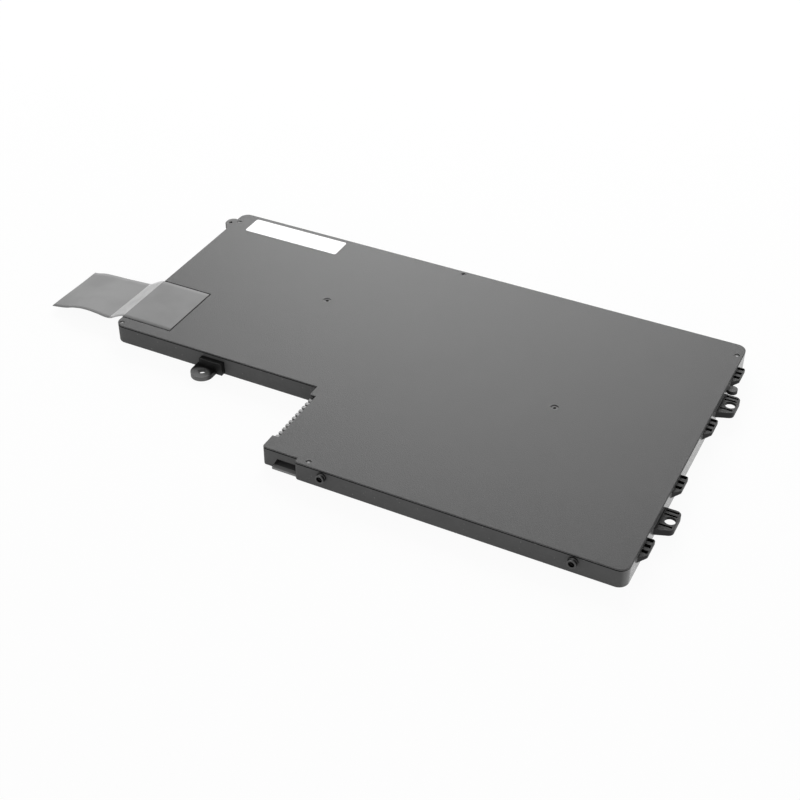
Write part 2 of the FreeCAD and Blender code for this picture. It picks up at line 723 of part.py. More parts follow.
def make_upper_cover():
    """The thin cover: flange over the walls, seam groove, locating lip, dimples and the film's recess."""
    body = new_body("upper_cover")

    seam = new_sketch(body, "cover_seam", lift="case_height")
    polygon(seam, pack_outline("seam_depth"))
    pad(body, seam, "flange_thickness")
    flange = new_sketch(body, "cover_flange", lift="case_height + seam_height")
    polygon(flange, pack_outline("0"))
    pad(body, flange, "flange_thickness - seam_height")
    plate = back_ear(body, "cover_ear", "case_height", "flange_thickness")
    fillet(body, plate, flat_edges(plate, "pack_height"), "cover_edge_radius", "cover_top_edge")

    lip = new_sketch(body, "cover_lip", lift="cover_inside")
    polygon(lip, inner_outline("lip_clearance"))
    pad(body, lip, "lip_depth")

    # The cover stops short of the connector's teeth
    window = new_sketch(body, "comb_window", lift="pack_height")
    window_right = "x_notch + window_depth"
    rectangle(window, "x_notch - wall_thickness", window_right, "y_block - lip_clearance", "y_comb_end")
    pocket(body, window, "pack_height - cover_inside")

    film_seat = new_sketch(body, "film_recess", lift="pack_height")
    right = "x_left + pull_tab_stuck + pull_tab_margin"
    back = "y_pull_tab + pull_tab_width + pull_tab_margin"
    rectangle(film_seat, "x_left - wall_thickness", right, "y_pull_tab - pull_tab_margin", back)
    pocket(body, film_seat, "pull_tab_thickness")

    dimples = new_sketch(body, "cover_dimples", lift="pack_height")
    pits = new_sketch(body, "dimple_pits", lift="pack_height - dimple_depth")
    for across, along in COVER_DIMPLES:
        circle(dimples, across, along, "dimple_radius")
        circle(pits, across, along, "dimple_pit_radius")
    pocket(body, dimples, "dimple_depth")
    pocket(body, pits, "dimple_pit_depth - dimple_depth")
    stakes = new_sketch(body, "edge_stakes", lift="pack_height")
    for across, along in EDGE_STAKES:
        circle(stakes, across, along, "stake_radius")
    pocket(body, stakes, "dimple_depth")

    locating = new_sketch(body, "cover_ear_hole", lift="pack_height")
    circle(locating, *BACK_HOLE, "back_hole_radius")
    pocket(body, locating, "flange_thickness")
    return body


def slot_middle(index):
    """Where slot number index of the comb lies along Y, counted from 1 at the front."""
    return f"y_comb_front + {index} * contact_pitch"


def make_connector_housing():
    """The comb receptacle: a base, a back wall and round-tipped teeth with a slot between each two."""
    body = new_body("connector_housing")
    base = new_sketch(body, "comb_base", lift="bottom_thickness")
    rectangle(base, "x_comb_tip + tooth_radius", "x_comb_back", "y_comb_front", "y_comb_back")
    pad(body, base, "slot_bottom")
    back = new_sketch(body, "comb_back_wall", lift="bottom_thickness")
    rectangle(back, "x_slot_end", "x_comb_back", "y_comb_front", "y_comb_back")
    pad(body, back, "comb_height")
    tooth = new_sketch(body, "comb_tooth", lift="bottom_thickness")
    low = f"{slot_middle(0)} + 0.5 * slot_width"
    high = f"{low} + contact_pitch - slot_width"
    polygon(tooth, [
        ("x_comb_tip", low, "tooth_radius"),
        ("x_slot_end", low),
        ("x_slot_end", high),
        ("x_comb_tip", high, "tooth_radius"),
    ])
    first_tooth = pad(body, tooth, "comb_height")
    in_a_row(body, first_tooth, tooth, "V_Axis", "contact_count * contact_pitch", "contact_count + 1")

    bevel = new_sketch(body, "teeth_bevel", "XZ_Plane", "-y_comb_front")
    polygon(bevel, [
        ("x_comb_tip - tooth_slope", "comb_top"),
        ("x_comb_tip - tooth_slope", "comb_top - 2 * tooth_slope"),
        ("x_comb_tip + tooth_slope", "comb_top"),
    ])
    pocket(body, bevel, "comb_length")

    channels = new_sketch(body, "stem_channels", "YZ_Plane", "x_comb_back")
    for index in range(1, int(value("contact_count")) + 1):
        low = f"{slot_middle(index)} - 0.5 * contact_thickness"
        rectangle(channels, low, f"{low} + contact_thickness", "board_top", "board_top + stem_height")
    pocket(body, channels, "comb_depth - slot_depth")
    return body


def make_contact(index):
    """A stamped fork contact: the fork stands in its slot and its tail lies on the board."""
    body = new_body(f"connector_contact_{index:02d}")
    blade = new_sketch(body, f"blade_{index:02d}", "XZ_Plane")
    fork_top = "fork_bottom + fork_height"
    mouth_low = "fork_bottom + 0.5 * fork_height - 0.5 * fork_mouth_height"
    mouth_high = f"{mouth_low} + fork_mouth_height"
    polygon(blade, [
        ("x_fork", "fork_bottom"),
        ("x_slot_end", "fork_bottom"),
        ("x_slot_end", "board_top"),
        ("x_comb_back + tail_length", "board_top"),
        ("x_comb_back + tail_length", "board_top + tail_thickness"),
        ("x_comb_back", "board_top + tail_thickness"),
        ("x_comb_back", "board_top + stem_height"),
        ("x_slot_end", "board_top + stem_height"),
        ("x_slot_end", fork_top),
        ("x_fork", fork_top),
        ("x_fork", mouth_high),
        ("x_fork + fork_mouth_depth", mouth_high),
        ("x_fork + fork_mouth_depth", mouth_low),
        ("x_fork", mouth_low),
    ])
    pad(body, blade, "contact_thickness")
    place(body, along=f"{slot_middle(index)} + 0.5 * contact_thickness")
    return body


def make_board():
    """The protection board on its rails, with a hole for each locating pin."""
    body = new_body("protection_board")
    panel = new_sketch(body, "board_panel", lift="board_bottom")
    rectangle(panel, "x_board", "x_board + board_length", "y_board", "y_board_back")
    pad(body, panel, "board_thickness")
    holes = new_sketch(body, "board_holes", lift="board_top")
    for across, along in BOARD_PINS:
        circle(holes, across, along, "pin_radius + pin_clearance")
    pocket(body, holes, "board_thickness")
    return body


def make_block(label, corner, size):
    """A plain block from its low corner and its size, both as three formulas."""
    block = doc.addObject("Part::Box", label)
    block.Label = label
    for side, formula in zip(("Length", "Width", "Height"), size):
        block.setExpression(side, bound(formula))
    place(block, *corner)
    return block


def make_component(label):
    """A chip or other block that is soldered on the board."""
    corner = (f"x_board + {label}_across", f"y_board + {label}_along", "board_top")
    return make_block(label, corner, (f"{label}_length", f"{label}_width", "component_height"))


def make_capacitors():
    """A row of small chip capacitors along the board's front, as separate solids."""
    body = doc.addObject("Part::Compound", "board_capacitors")
    body.Label = "board_capacitors"
    row = []
    size = ("capacitor_length", "capacitor_width", "capacitor_height")
    for index in range(int(value("capacitor_count"))):
        across = f"x_board + capacitor_across + {index} * capacitor_pitch"
        corner = (across, "y_board + capacitor_along", "board_top")
        row.append(make_block(f"capacitor_{index + 1}", corner, size))
    body.Links = row
    return body


def make_insulator():
    """The film that lies over the board's components."""
    corner = ("x_board + tail_length + insulator_margin", "y_board + insulator_margin",
              "board_top + component_height")
    length = "board_length - tail_length - 2 * insulator_margin"
    size = (length, "board_width - leg_landing - 2 * insulator_margin", "insulator_thickness")
    return make_block("board_insulator", corner, size)


def make_cell(index):
    """A sealed pouch cell: cup, folded side seams and the front terrace."""
    body = new_body(f"cell_{index}")
    cup = new_sketch(body, f"cell_cup_{index}")
    rectangle(cup, "fold_thickness", "cell_width - fold_thickness", "0", "cell_length")
    cup_pad = pad(body, cup, "cell_thickness")
    doc.recompute()
    names = [f"Edge{number}" for number, edge in enumerate(cup_pad.Shape.Edges, 1)
             if edge.BoundBox.ZMax > value("pouch_radius")]
    fillet(body, cup_pad, names, "pouch_radius", f"cell_edges_{index}")
    folds = new_sketch(body, f"cell_folds_{index}", lift="pouch_radius")
    for left in ("0", "cell_width - fold_thickness"):
        rectangle(folds, left, f"{left} + fold_thickness", "fold_margin", "cell_length - fold_margin")
    pad(body, folds, "fold_height")
    terrace = new_sketch(body, f"cell_terrace_{index}")
    rectangle(terrace, "terrace_margin", "cell_width - terrace_margin", "-terrace_depth", "2 * pouch_radius")
    pad(body, terrace, "terrace_thickness")
    place(body, f"x_cells + {index - 1} * cell_pitch", "y_cells", "cell_bottom")
    return body


def tab_left(index, side):
    """The left edge of a cell's tab, negative on the left and positive on the right."""
    return f"x_cells + {index - 1} * cell_pitch + 0.5 * cell_width + {side} * tab_spread - 0.5 * tab_width"


def make_tabs(index):
    """The two metal tabs that leave a cell's terrace."""
    size = ("tab_width", "tab_length", "tab_thickness")
    negative = make_block(f"cell_{index}_negative_tab", (tab_left(index, -1), "y_tab", "tab_bottom"), size)
    positive = make_block(f"cell_{index}_positive_tab", (tab_left(index, 1), "y_tab", "tab_bottom"), size)
    return [negative, positive]


def make_tape(index):
    """The adhesive tape between a cell and the floor."""
    corner = (f"x_cells + {index - 1} * cell_pitch + tape_margin", "y_cells + tape_margin", "bottom_thickness")
    size = ("cell_width - 2 * tape_margin", "cell_length - 2 * tape_margin", "tape_thickness")
    return make_block(f"cell_tape_{index}", corner, size)


def make_foam(index):
    """The foam strip that presses a cell down under the cover."""
    middle = f"x_cells + {index - 1} * cell_pitch + 0.5 * cell_width"
    corner = (f"{middle} - 0.5 * foam_width", "y_cells + 0.5 * cell_length - 0.5 * foam_length", "cell_top")
    return make_block(f"cell_foam_{index}", corner, ("foam_width", "foam_length", "foam_thickness"))


def make_strip(label, bus_left, bus_right, leg_left, low="y_bus", width="bus_width", foot=None):
    """A nickel strip: a bus that runs along the cells' tabs and a leg that steps up onto the board."""
    body = new_body(label)
    bus = new_sketch(body, label + "_bus", lift="strip_bottom")
    rectangle(bus, bus_left, bus_right, low, f"{low} + {width}")
    pad(body, bus, "strip_thickness")
    if foot:
        branch = new_sketch(body, label + "_foot", lift="strip_bottom")
        rectangle(branch, foot, f"{foot} + tab_width", f"{low} + 0.5 * {width}", "y_bus + bus_width")
        pad(body, branch, "strip_thickness")
    leg = new_sketch(body, label + "_leg", "YZ_Plane", leg_left)
    ramp_end = "y_board_back + leg_clearance"
    ramp_start = f"{ramp_end} + leg_ramp"
    polygon(leg, [
        (f"{low} + 0.5 * {width}", "strip_bottom"),
        (ramp_start, "strip_bottom"),
        (ramp_end, "board_top"),
        ("y_board_back - leg_landing", "board_top"),
        ("y_board_back - leg_landing", "board_top + strip_thickness"),
        (ramp_end, "board_top + strip_thickness"),
        (ramp_start, "strip_bottom + strip_thickness"),
        (f"{low} + 0.5 * {width}", "strip_bottom + strip_thickness"),
    ])
    pad(body, leg, "leg_width")
    return body


def make_strips():
    """The four strips that put the cells in series and carry them to the board."""
    negative_leg = "x_board + negative_leg_inset"
    first_leg = "x_board + first_link_leg_inset"
    second_leg = "x_board + second_link_leg_inset"
    positive_leg = "x_board + board_length - positive_leg_inset - leg_width"
    negative = make_strip("pack_negative_strip", tab_left(1, -1), f"{negative_leg} + leg_width", negative_leg,
                          "y_lane", "lane_width", tab_left(1, -1))
    first = make_strip("series_strip_1", tab_left(1, 1), f"{first_leg} + leg_width", first_leg)
    second_end = f"{tab_left(3, -1)} + tab_width"
    second = make_strip("series_strip_2", tab_left(2, 1), second_end, second_leg)
    positive = make_strip("pack_positive_strip", positive_leg, f"{tab_left(3, 1)} + tab_width", positive_leg,
                          "y_lane", "lane_width", tab_left(3, 1))
    return [negative, first, second, positive]


def make_label():
    """The small blank label with rounded corners on the cover."""
    body = new_body("white_label")
    face = new_sketch(body, "label_face", lift="pack_height")
    left, back = "x_left + label_from_left", "y_back - label_from_back"
    right, front = f"{left} + label_length", f"{back} - label_width"
    polygon(face, [(across, along, "label_radius") for across, along in
                   ((left, front), (right, front), (right, back), (left, back))])
    pad(body, face, "label_thickness")
    return body


def make_pull_tab():
    """The film: stuck in the cover's recess, then down a slope to a crease and out into a free flap."""
    body = new_body("pull_tab")
    top = [
        ("x_left + pull_tab_stuck", "pack_height"),
        ("x_bend", "pack_height"),
        ("x_crease", "z_crease"),
        ("x_level_end", "z_level_end"),
        ("x_flap_end", "z_flap_end"),
    ]
    bottom = [(across, f"{up} - pull_tab_thickness") for across, up in reversed(top)]
    side = new_sketch(body, "film_side", "XZ_Plane", "-y_pull_tab - pull_tab_width")
    polygon(side, top + bottom)
    film = pad(body, side, "pull_tab_width")
    film = fillet(body, film, level_edges(film, [top[3], bottom[1]]), "pull_tab_bend_radius", "film_wave")
    fillet(body, film, level_edges(film, [top[1], bottom[3], top[2], bottom[2]]), "pull_tab_crease_radius",
           "film_creases")
    return body


cell_numbers = (1, 2, 3)
sub_parts = [make_lower_case(), make_upper_cover(), make_connector_housing()]
sub_parts += [make_contact(index) for index in range(1, int(value("contact_count")) + 1)]
sub_parts += [make_board(), make_capacitors(), make_insulator()]
sub_parts += [make_component(label) for label in BOARD_COMPONENTS]
sub_parts += [make_cell(index) for index in cell_numbers]
for index in cell_numbers:
    sub_parts += make_tabs(index)
sub_parts += make_strips()
sub_parts += [make_tape(index) for index in cell_numbers]
sub_parts += [make_foam(index) for index in cell_numbers]
sub_parts += [make_label(), make_pull_tab()]
doc.recompute()

for thing in doc.Objects:
    if "Invalid" in thing.State or "Error" in thing.State:
        raise RuntimeError(f"{thing.Label} failed: {thing.State}")
    is_pocket = thing.TypeId == "PartDesign::Pocket"
    if is_pocket and not thing.Shape.Volume < thing.BaseFeature.Shape.Volume:
        raise RuntimeError(f"{thing.Label} cut nothing")
for thing in sub_parts:
    if thing.Shape.isNull() or not thing.Shape.isValid():
        raise RuntimeError(f"{thing.Label} has no valid shape")

os.makedirs("parts", exist_ok=True)
for thing in sub_parts:
    thing.Shape.exportStep(f"parts/{thing.Label}.step")
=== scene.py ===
"""Flat laptop battery: finishes, pull film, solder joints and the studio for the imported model."""

from __future__ import annotations

import json
import logging
import math
from dataclasses import dataclass
from enum import Enum
from functools import reduce

import bpy
from mathutils import Matrix, Vector

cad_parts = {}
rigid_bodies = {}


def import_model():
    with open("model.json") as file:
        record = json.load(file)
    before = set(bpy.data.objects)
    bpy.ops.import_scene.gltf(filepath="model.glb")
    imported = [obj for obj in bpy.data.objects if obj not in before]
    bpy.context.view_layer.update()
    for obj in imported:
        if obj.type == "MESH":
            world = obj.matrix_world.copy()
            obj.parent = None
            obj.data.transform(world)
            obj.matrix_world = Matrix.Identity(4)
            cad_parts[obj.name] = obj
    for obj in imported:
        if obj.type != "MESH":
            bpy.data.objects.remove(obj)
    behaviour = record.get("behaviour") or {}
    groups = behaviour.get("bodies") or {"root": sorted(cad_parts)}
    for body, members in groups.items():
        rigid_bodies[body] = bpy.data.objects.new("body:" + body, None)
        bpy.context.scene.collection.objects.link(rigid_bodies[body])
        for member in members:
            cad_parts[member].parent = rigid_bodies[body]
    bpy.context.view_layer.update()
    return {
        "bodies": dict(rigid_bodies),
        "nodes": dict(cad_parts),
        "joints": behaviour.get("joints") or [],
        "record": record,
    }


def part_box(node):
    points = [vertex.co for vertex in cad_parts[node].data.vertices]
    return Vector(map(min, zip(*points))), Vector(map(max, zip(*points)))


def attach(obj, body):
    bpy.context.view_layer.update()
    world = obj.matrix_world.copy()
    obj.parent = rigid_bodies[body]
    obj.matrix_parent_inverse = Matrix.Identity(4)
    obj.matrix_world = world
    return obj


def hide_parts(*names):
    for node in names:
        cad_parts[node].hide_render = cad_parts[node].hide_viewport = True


LOG = logging.getLogger("laptop_battery")
MM = 0.001
NOISE_LOW, NOISE_HIGH = 0.3, 0.7

Socket = bpy.types.NodeSocket
Pair = tuple[float, float]
Triple = tuple[float, float, float]


def grey(level: int) -> Triple:
    """The linear colour of a neutral grey that is written as a level from 0 to 255.

    Args:
        level: the grey as an image shows it.

    Returns:
        Three equal linear values.
    """
    share = level / 255.0
    linear = share / 12.92 if share <= 0.04045 else ((share + 0.055) / 1.055) ** 2.4
    return (linear, linear, linear)


def scaled(tone: Triple, share: float) -> Triple:
    """A colour made darker or lighter.

    Args:
        tone: the colour.
        share: the number that it is multiplied by.

    Returns:
        The new colour, with no part above 1.
    """
    return tuple(min(part * share, 1.0) for part in tone)


class Axis(Enum):
    """An axis of the object's own coordinates."""

    X = "X"
    Y = "Y"
    Z = "Z"


@dataclass(frozen=True)
class Cloud:
    """A kind of noise: its patches' width in millimetres, its finer layers, their strength and its stretch."""

    size: float
    detail: float = 2.0
    roughness: float = 0.5
    stretch: Triple = (1.0, 1.0, 1.0)


class Grain(Enum):
    """How a moulding tool's texture leaves its mark: its pits and their depth in millimetres."""

    SPARKED = (Cloud(0.28, 3.0, 0.65), 0.018)
    PITTED = (Cloud(0.42, 3.0, 0.65), 0.022)
    SATIN = (Cloud(0.16, 3.0, 0.65), 0.004)


class Shading:
    """A material's node tree, with the few kinds of link that the finishes here are made of."""

    def __init__(self, name: str) -> None:
        """Start a material with a shader and the piece's own coordinates.

        Args:
            name: the material's name.
        """
        self.material = bpy.data.materials.new(name)
        self.material.use_nodes = True
        self.nodes = self.material.node_tree.nodes
        self.links = self.material.node_tree.links
        self.shader = self.nodes["Principled BSDF"]
        self.coordinates = self.nodes.new("ShaderNodeTexCoord").outputs["Object"]

    def stretched(self, scale: Triple) -> Socket:
        """The coordinates scaled along each axis, for grain with a direction.

        Args:
            scale: the scale along X, Y and Z.

        Returns:
            The socket with the scaled coordinates.
        """
        mapping = self.nodes.new("ShaderNodeMapping")
        mapping.inputs["Scale"].default_value = scale
        self.links.new(self.coordinates, mapping.inputs["Vector"])
        return mapping.outputs["Vector"]

    def noise(self, cloud: Cloud) -> Socket:
        """Cloudy noise.

        Args:
            cloud: the kind of noise.

        Returns:
            The socket with the noise, about 0.5 on average.
        """
        node = self.nodes.new("ShaderNodeTexNoise")
        node.inputs["Scale"].default_value = 1.0 / (cloud.size * MM)
        node.inputs["Detail"].default_value = cloud.detail
        node.inputs["Roughness"].default_value = cloud.roughness
        self.links.new(self.stretched(cloud.stretch), node.inputs["Vector"])
        return node.outputs["Fac"]

    def cells(self, size: float, feature: str = "F1") -> Socket:
        """Cells of about one size, as the distance from each cell's middle or edge.

        Args:
            size: the width of a cell in millimetres.
            feature: which distance is taken.

        Returns:
            The socket with the distance.
        """
        node = self.nodes.new("ShaderNodeTexVoronoi")
        node.feature = feature
        node.inputs["Scale"].default_value = 1.0 / (size * MM)
        self.links.new(self.coordinates, node.inputs["Vector"])
        return node.outputs["Distance"]

    def along(self, axis: Axis) -> Socket:
        """The place along one axis of the piece in metres.

        Args:
            axis: the axis that is read.

        Returns:
            The socket with the coordinate.
        """
        node = self.nodes.new("ShaderNodeSeparateXYZ")
        self.links.new(self.coordinates, node.inputs["Vector"])
        return node.outputs[axis.value]

    def spread(self, source: Socket, low: float, high: float, to_low: float = 0.0, to_high: float = 1.0) -> Socket:
        """Map a value between two limits onto two others, with a smooth run between them.

        Args:
            source: the value.
            low: where the run starts.
            high: where the run ends.
            to_low: the result up to low.
            to_high: the result from high on.

        Returns:
            The socket with the mapped value.
        """
        node = self.nodes.new("ShaderNodeMapRange")
        node.interpolation_type = "SMOOTHSTEP"
        for name, number in (("From Min", low), ("From Max", high), ("To Min", to_low), ("To Max", to_high)):
            node.inputs[name].default_value = number
        self.links.new(source, node.inputs["Value"])
        return node.outputs["Result"]

    def evened(self, noise: Socket, to_low: float = 0.0, to_high: float = 1.0) -> Socket:
        """Map the range that noise mostly keeps to onto two limits.

        Args:
            noise: the noise.
            to_low: the result for the noise's low values.
            to_high: the result for the noise's high values.

        Returns:
            The socket with the mapped value.
        """
        return self.spread(noise, NOISE_LOW, NOISE_HIGH, to_low, to_high)

    def before(self, axis: Axis, start: float, end: float) -> Socket:
        """Where the surface lies before a run along an axis.

        Args:
            axis: the axis.
            start: where the run starts in metres.
            end: where the run ends in metres.

        Returns:
            The socket with 1 up to the start and 0 from the end on.
        """
        return self.spread(self.along(axis), start, end, 1.0, 0.0)

    def beyond(self, axis: Axis, start: float, end: float) -> Socket:
        """Where the surface lies beyond a run along an axis.

        Args:
            axis: the axis.
            start: where the run starts in metres.
            end: where the run ends in metres.

        Returns:
            The socket with 0 up to the start and 1 from the end on.
        """
        return self.spread(self.along(axis), start, end)

    def combine(self, operation: str, first: Socket, second: Socket | float) -> Socket:
        """One step of arithmetic on a value that varies over the surface.

        Args:
            operation: the Math node's operation.
            first: the first value.
            second: the second value or a number.

        Returns:
            The socket with the result.
        """
        node = self.nodes.new("ShaderNodeMath")
        node.operation = operation
        self.links.new(first, node.inputs[0])
        if isinstance(second, Socket):
            self.links.new(second, node.inputs[1])
        else:
            node.inputs[1].default_value = second
        return node.outputs[0]

    def either(self, *masks: Socket) -> Socket:
        """Where any of a few masks is.

        Args:
            masks: the masks.

        Returns:
            The socket with the highest of them.
        """
        return reduce(lambda first, second: self.combine("MAXIMUM", first, second), masks)

    def every(self, *masks: Socket) -> Socket:
        """Where all of a few masks are.

        Args:
            masks: the masks.

        Returns:
            The socket with their product.
        """
        return reduce(lambda first, second: self.combine("MULTIPLY", first, second), masks)

    def mixed(self, share: Socket, first: Triple | Socket, second: Triple | Socket) -> Socket:
        """A colour between two others.

        Args:
            share: how much of the second colour shows.
            first: the colour where the share is 0.
            second: the colour where the share is 1.

        Returns:
            The socket with the colour.
        """
        node = self.nodes.new("ShaderNodeMix")
        node.data_type = "RGBA"
        self.links.new(share, node.inputs["Factor"])
        for socket, colour in ((node.inputs[6], first), (node.inputs[7], second)):
            if isinstance(colour, Socket):
                self.links.new(colour, socket)
            else:
                socket.default_value = (*colour, 1.0)
        return node.outputs[2]

    def mottled(self, share: Socket, tone: Triple, amount: float) -> Socket:
        """A colour that wanders between a darker and a lighter shade of itself.

        Args:
            share: how much of the lighter shade shows.
            tone: the colour.
            amount: how far each shade is from the colour, as a share of it.

        Returns:
            The socket with the colour.
        """
        return self.mixed(share, scaled(tone, 1.0 - amount), scaled(tone, 1.0 + amount))

    def near(self, centre: Pair, radius: float, full: float = 0.7) -> Socket:
        """Where the surface lies within a distance of an upright axis.

        Args:
            centre: the axis' place along X and Y in millimetres.
            radius: the distance in millimetres.
            full: the share of the radius within which the mask is full.

        Returns:
            The socket with 1 near the axis and 0 elsewhere.
        """
        gap = self.nodes.new("ShaderNodeVectorMath")
        gap.operation = "DISTANCE"
        self.links.new(self.stretched((1.0, 1.0, 0.0)), gap.inputs[0])
        gap.inputs[1].default_value = (centre[0] * MM, centre[1] * MM, 0.0)
        return self.spread(gap.outputs["Value"], full * radius * MM, radius * MM, 1.0, 0.0)

    def rim(self, low: Vector, high: Vector, width: float, blur: float = 0.04) -> Socket:
        """A line of one width round the outside of an upright box.

        Args:
            low: the box's low corner in metres.
            high: the box's high corner in metres.
            width: the line's width in millimetres.
            blur: half of the line's soft edge in millimetres.

        Returns:
            The socket with 1 on the line and 0 elsewhere.
        """
        gaps = []
        for axis, near, far in ((Axis.X, low.x, high.x), (Axis.Y, low.y, high.y)):
            place = self.along(axis)
            gaps.append(self.combine("SUBTRACT", self.combine("MULTIPLY", place, -1.0), -near))
            gaps.append(self.combine("SUBTRACT", place, far))
        outside = self.either(*gaps)
        edge = blur * MM
        inner = self.spread(outside, -edge, edge)
        outer = self.spread(outside, width * MM - edge, width * MM + edge, 1.0, 0.0)
        return self.every(inner, outer)

    def relief(self, height: Socket, depth: float, under: Socket | None = None) -> Socket:
        """Raise the surface's look by a height between 0 and 1.

        Args:
            height: the height.
            depth: the height of 1 in millimetres.
            under: a relief that lies under this one.

        Returns:
            The socket with the normal.
        """
        node = self.nodes.new("ShaderNodeBump")
        node.inputs["Distance"].default_value = depth * MM
        self.links.new(height, node.inputs["Height"])
        if under is not None:
            self.links.new(under, node.inputs["Normal"])
        return node.outputs["Normal"]

    def grained(self, grain: Grain) -> Socket:
        """The relief of a moulding tool's texture.

        Args:
            grain: the texture.

        Returns:
            The socket with the normal.
        """
        pits, depth = grain.value
        return self.relief(self.evened(self.noise(pits)), depth)

    def feed(self, **sources: Socket) -> None:
        """Link values that vary over the surface to the shader's inputs.

        Args:
            sources: the input's name with its blanks as underscores, and the socket that feeds it.
        """
        for name, source in sources.items():
            self.links.new(source, self.shader.inputs[name.replace("_", " ")])

    def settle(self, **numbers: float | tuple[float, ...]) -> None:
        """Set the shader's inputs that are the same all over the surface.

        Args:
            numbers: the input's name with its blanks as underscores, and its number or colour.
        """
        for name, number in numbers.items():
            self.shader.inputs[name.replace("_", " ")].default_value = number


@dataclass(frozen=True)
class MouldedPlastic:
    """Plastic with the grain of its moulding tool, slight streaks of flow and small differences of tone."""

    name: str
    tone: Triple
    grain: Grain
    roughness: Pair
    specular: float = 0.5
    mottle: float = 0.06
    mottle_range: Pair = (0.45, 0.95)
    flow: float = 0.4
    clouds: Cloud = Cloud(9.0, 3.0, 0.6)
    streaks: Cloud = Cloud(2.2, stretch=(0.25, 1.0, 1.0))

    def material(self) -> bpy.types.Material:
        """Build the material.

        Returns:
            The new material.
        """
        shading = Shading(self.name)
        clouds = shading.noise(self.clouds)
        streaks = shading.combine("MULTIPLY", shading.noise(self.streaks), self.flow)
        share = shading.spread(shading.combine("ADD", streaks, clouds), *self.mottle_range)
        shading.feed(
            Base_Color=shading.mottled(share, self.tone, self.mottle),
            Roughness=shading.evened(clouds, *self.roughness),
            Normal=shading.grained(self.grain),
        )
        shading.settle(Specular_IOR_Level=self.specular)
        return shading.material


@dataclass(frozen=True)
class Landmarks:
    """Walls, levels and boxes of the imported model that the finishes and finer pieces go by, in metres."""

    right_wall: float
    left_wall: float
    front_wall: float
    notch_wall: float
    notch_side: float
    top: float
    film: tuple[Vector, Vector]

    @classmethod
    def read(cls, film_stuck: float = 23.2, film_from_notch: float = 6.3, comb_inset: float = 0.2) -> Landmarks:
        """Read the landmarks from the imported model.

        Args:
            film_stuck: the length of film that is stuck on the cover, in millimetres.
            film_from_notch: how far behind the notch wall the film lies, in millimetres.
            comb_inset: how far behind the notch's side the comb's teeth start, in millimetres.

        Returns:
            The landmarks.
        """
        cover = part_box("upper_cover")
        film = tuple(Vector(corner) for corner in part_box("pull_tab"))
        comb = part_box("connector_housing")
        return cls(
            right_wall=cover[1][0],
            left_wall=film[1].x - film_stuck * MM,
            front_wall=cover[0][1],
            notch_wall=film[0].y - film_from_notch * MM,
            notch_side=comb[0][0] - comb_inset * MM,
            top=cover[1][2],
            film=film,
        )


@dataclass(frozen=True)
class CoverPlastic:
    """The cover's finely pitted grey plastic, with painted light on its rim, painted highlights at a few dimples
    and stakes, and painted shade in its seam, groove and deeper dimples.
    """

    marks: Landmarks
    name: str = "cover_plastic"
    tone: Triple = grey(66)
    # Painted light: the flange's side is painted this paler tone so that it looks as lit as the top.
    rim_painted_light_tone: Triple = grey(92)
    # Painted highlight: the tone of the bright spots painted at a few dimples and stakes.
    pale: Triple = grey(165)
    # Painted shade: the near-black painted into the seam, the groove round the film and the deeper dimples.
    shade: Triple = grey(6)
    roughness: float = 0.5
    specular: float = 0.33
    mottle: float = 0.02
    clouds: Cloud = Cloud(16.0, 3.0, 0.6)
    # Painted light: how far below the top the paler band on the flange's side starts, and its soft edge.
    rim_drop: float = 0.1
    rim_edge: float = 0.04
    # Painted shade: the seam's near-black band starts this far below the top with this soft edge and stops this far
    # outside the left wall; the painted shade line round the film is this wide.
    seam_drop: float = 0.4
    seam_edge: float = 0.02
    seam_end: Pair = (0.2, 0.1)
    groove_shade_width: float = 0.56
    # Painted highlights: each bright spot's place along X and Y and its radius, at a few dimples and stakes.
    painted_highlight_spots: tuple[Triple, ...] = (
        (64.25, 0.2, 0.62),
        (117.66, 65.45, 0.5),
        (-117.75, -26.9, 0.55),
        (-118.3, 65.75, 0.45),
        (-3.63, -71.2, 0.5),
    )
    # Painted shade: the near-black spots in the deeper dimples, each with its place along X and Y and its radius.
    painted_shade_spots: tuple[Triple, ...] = ((-49.6, 26.1, 0.75), (-6.75, 71.4, 0.5))

    def spots(self, shading: Shading, places: tuple[Triple, ...]) -> Socket:
        """Where any of a few round spots is.

        Args:
            shading: the material that is being built.
            places: each spot's place along X and Y and its radius in millimetres.

        Returns:
            The socket with the mask.
        """
        return shading.either(*(shading.near((across, along), radius) for across, along, radius in places))

    def painted_shade(self, shading: Shading) -> Socket:
        """Where shade is painted: round the film's groove, in the seam beside the walls and in the deeper dimples.

        Args:
            shading: the material that is being built.

        Returns:
            The socket with the mask.
        """
        level = self.marks.top - self.seam_drop * MM
        start, end = (self.marks.left_wall - gap * MM for gap in self.seam_end)
        return shading.either(
            shading.rim(*self.marks.film, self.groove_shade_width),
            shading.every(
                shading.before(Axis.Z, level - self.seam_edge * MM, level), shading.beyond(Axis.X, start, end)
            ),
            self.spots(shading, self.painted_shade_spots),
        )

    def material(self) -> bpy.types.Material:
        """Build the material.

        Returns:
            The new material.
        """
        shading = Shading(self.name)
        # Painted shade: the mask of the seam, the groove round the film and the deeper dimples.
        painted_shade = self.painted_shade(shading)
        rim = self.marks.top - self.rim_drop * MM
        tone = shading.mottled(shading.evened(shading.noise(self.clouds)), self.tone, self.mottle)
        # Painted light on the flange's side, under the top's edge.
        tone = shading.mixed(shading.before(Axis.Z, rim - self.rim_edge * MM, rim), tone, self.rim_painted_light_tone)
        # Painted highlights at a few dimples and stakes.
        tone = shading.mixed(self.spots(shading, self.painted_highlight_spots), tone, self.pale)
        shading.feed(
            Base_Color=shading.mixed(painted_shade, tone, self.shade),
            Roughness=shading.spread(painted_shade, 0.0, 1.0, self.roughness, 1.0),
            Normal=shading.grained(Grain.PITTED),
        )
        shading.settle(Specular_IOR_Level=self.specular)
        return shading.material


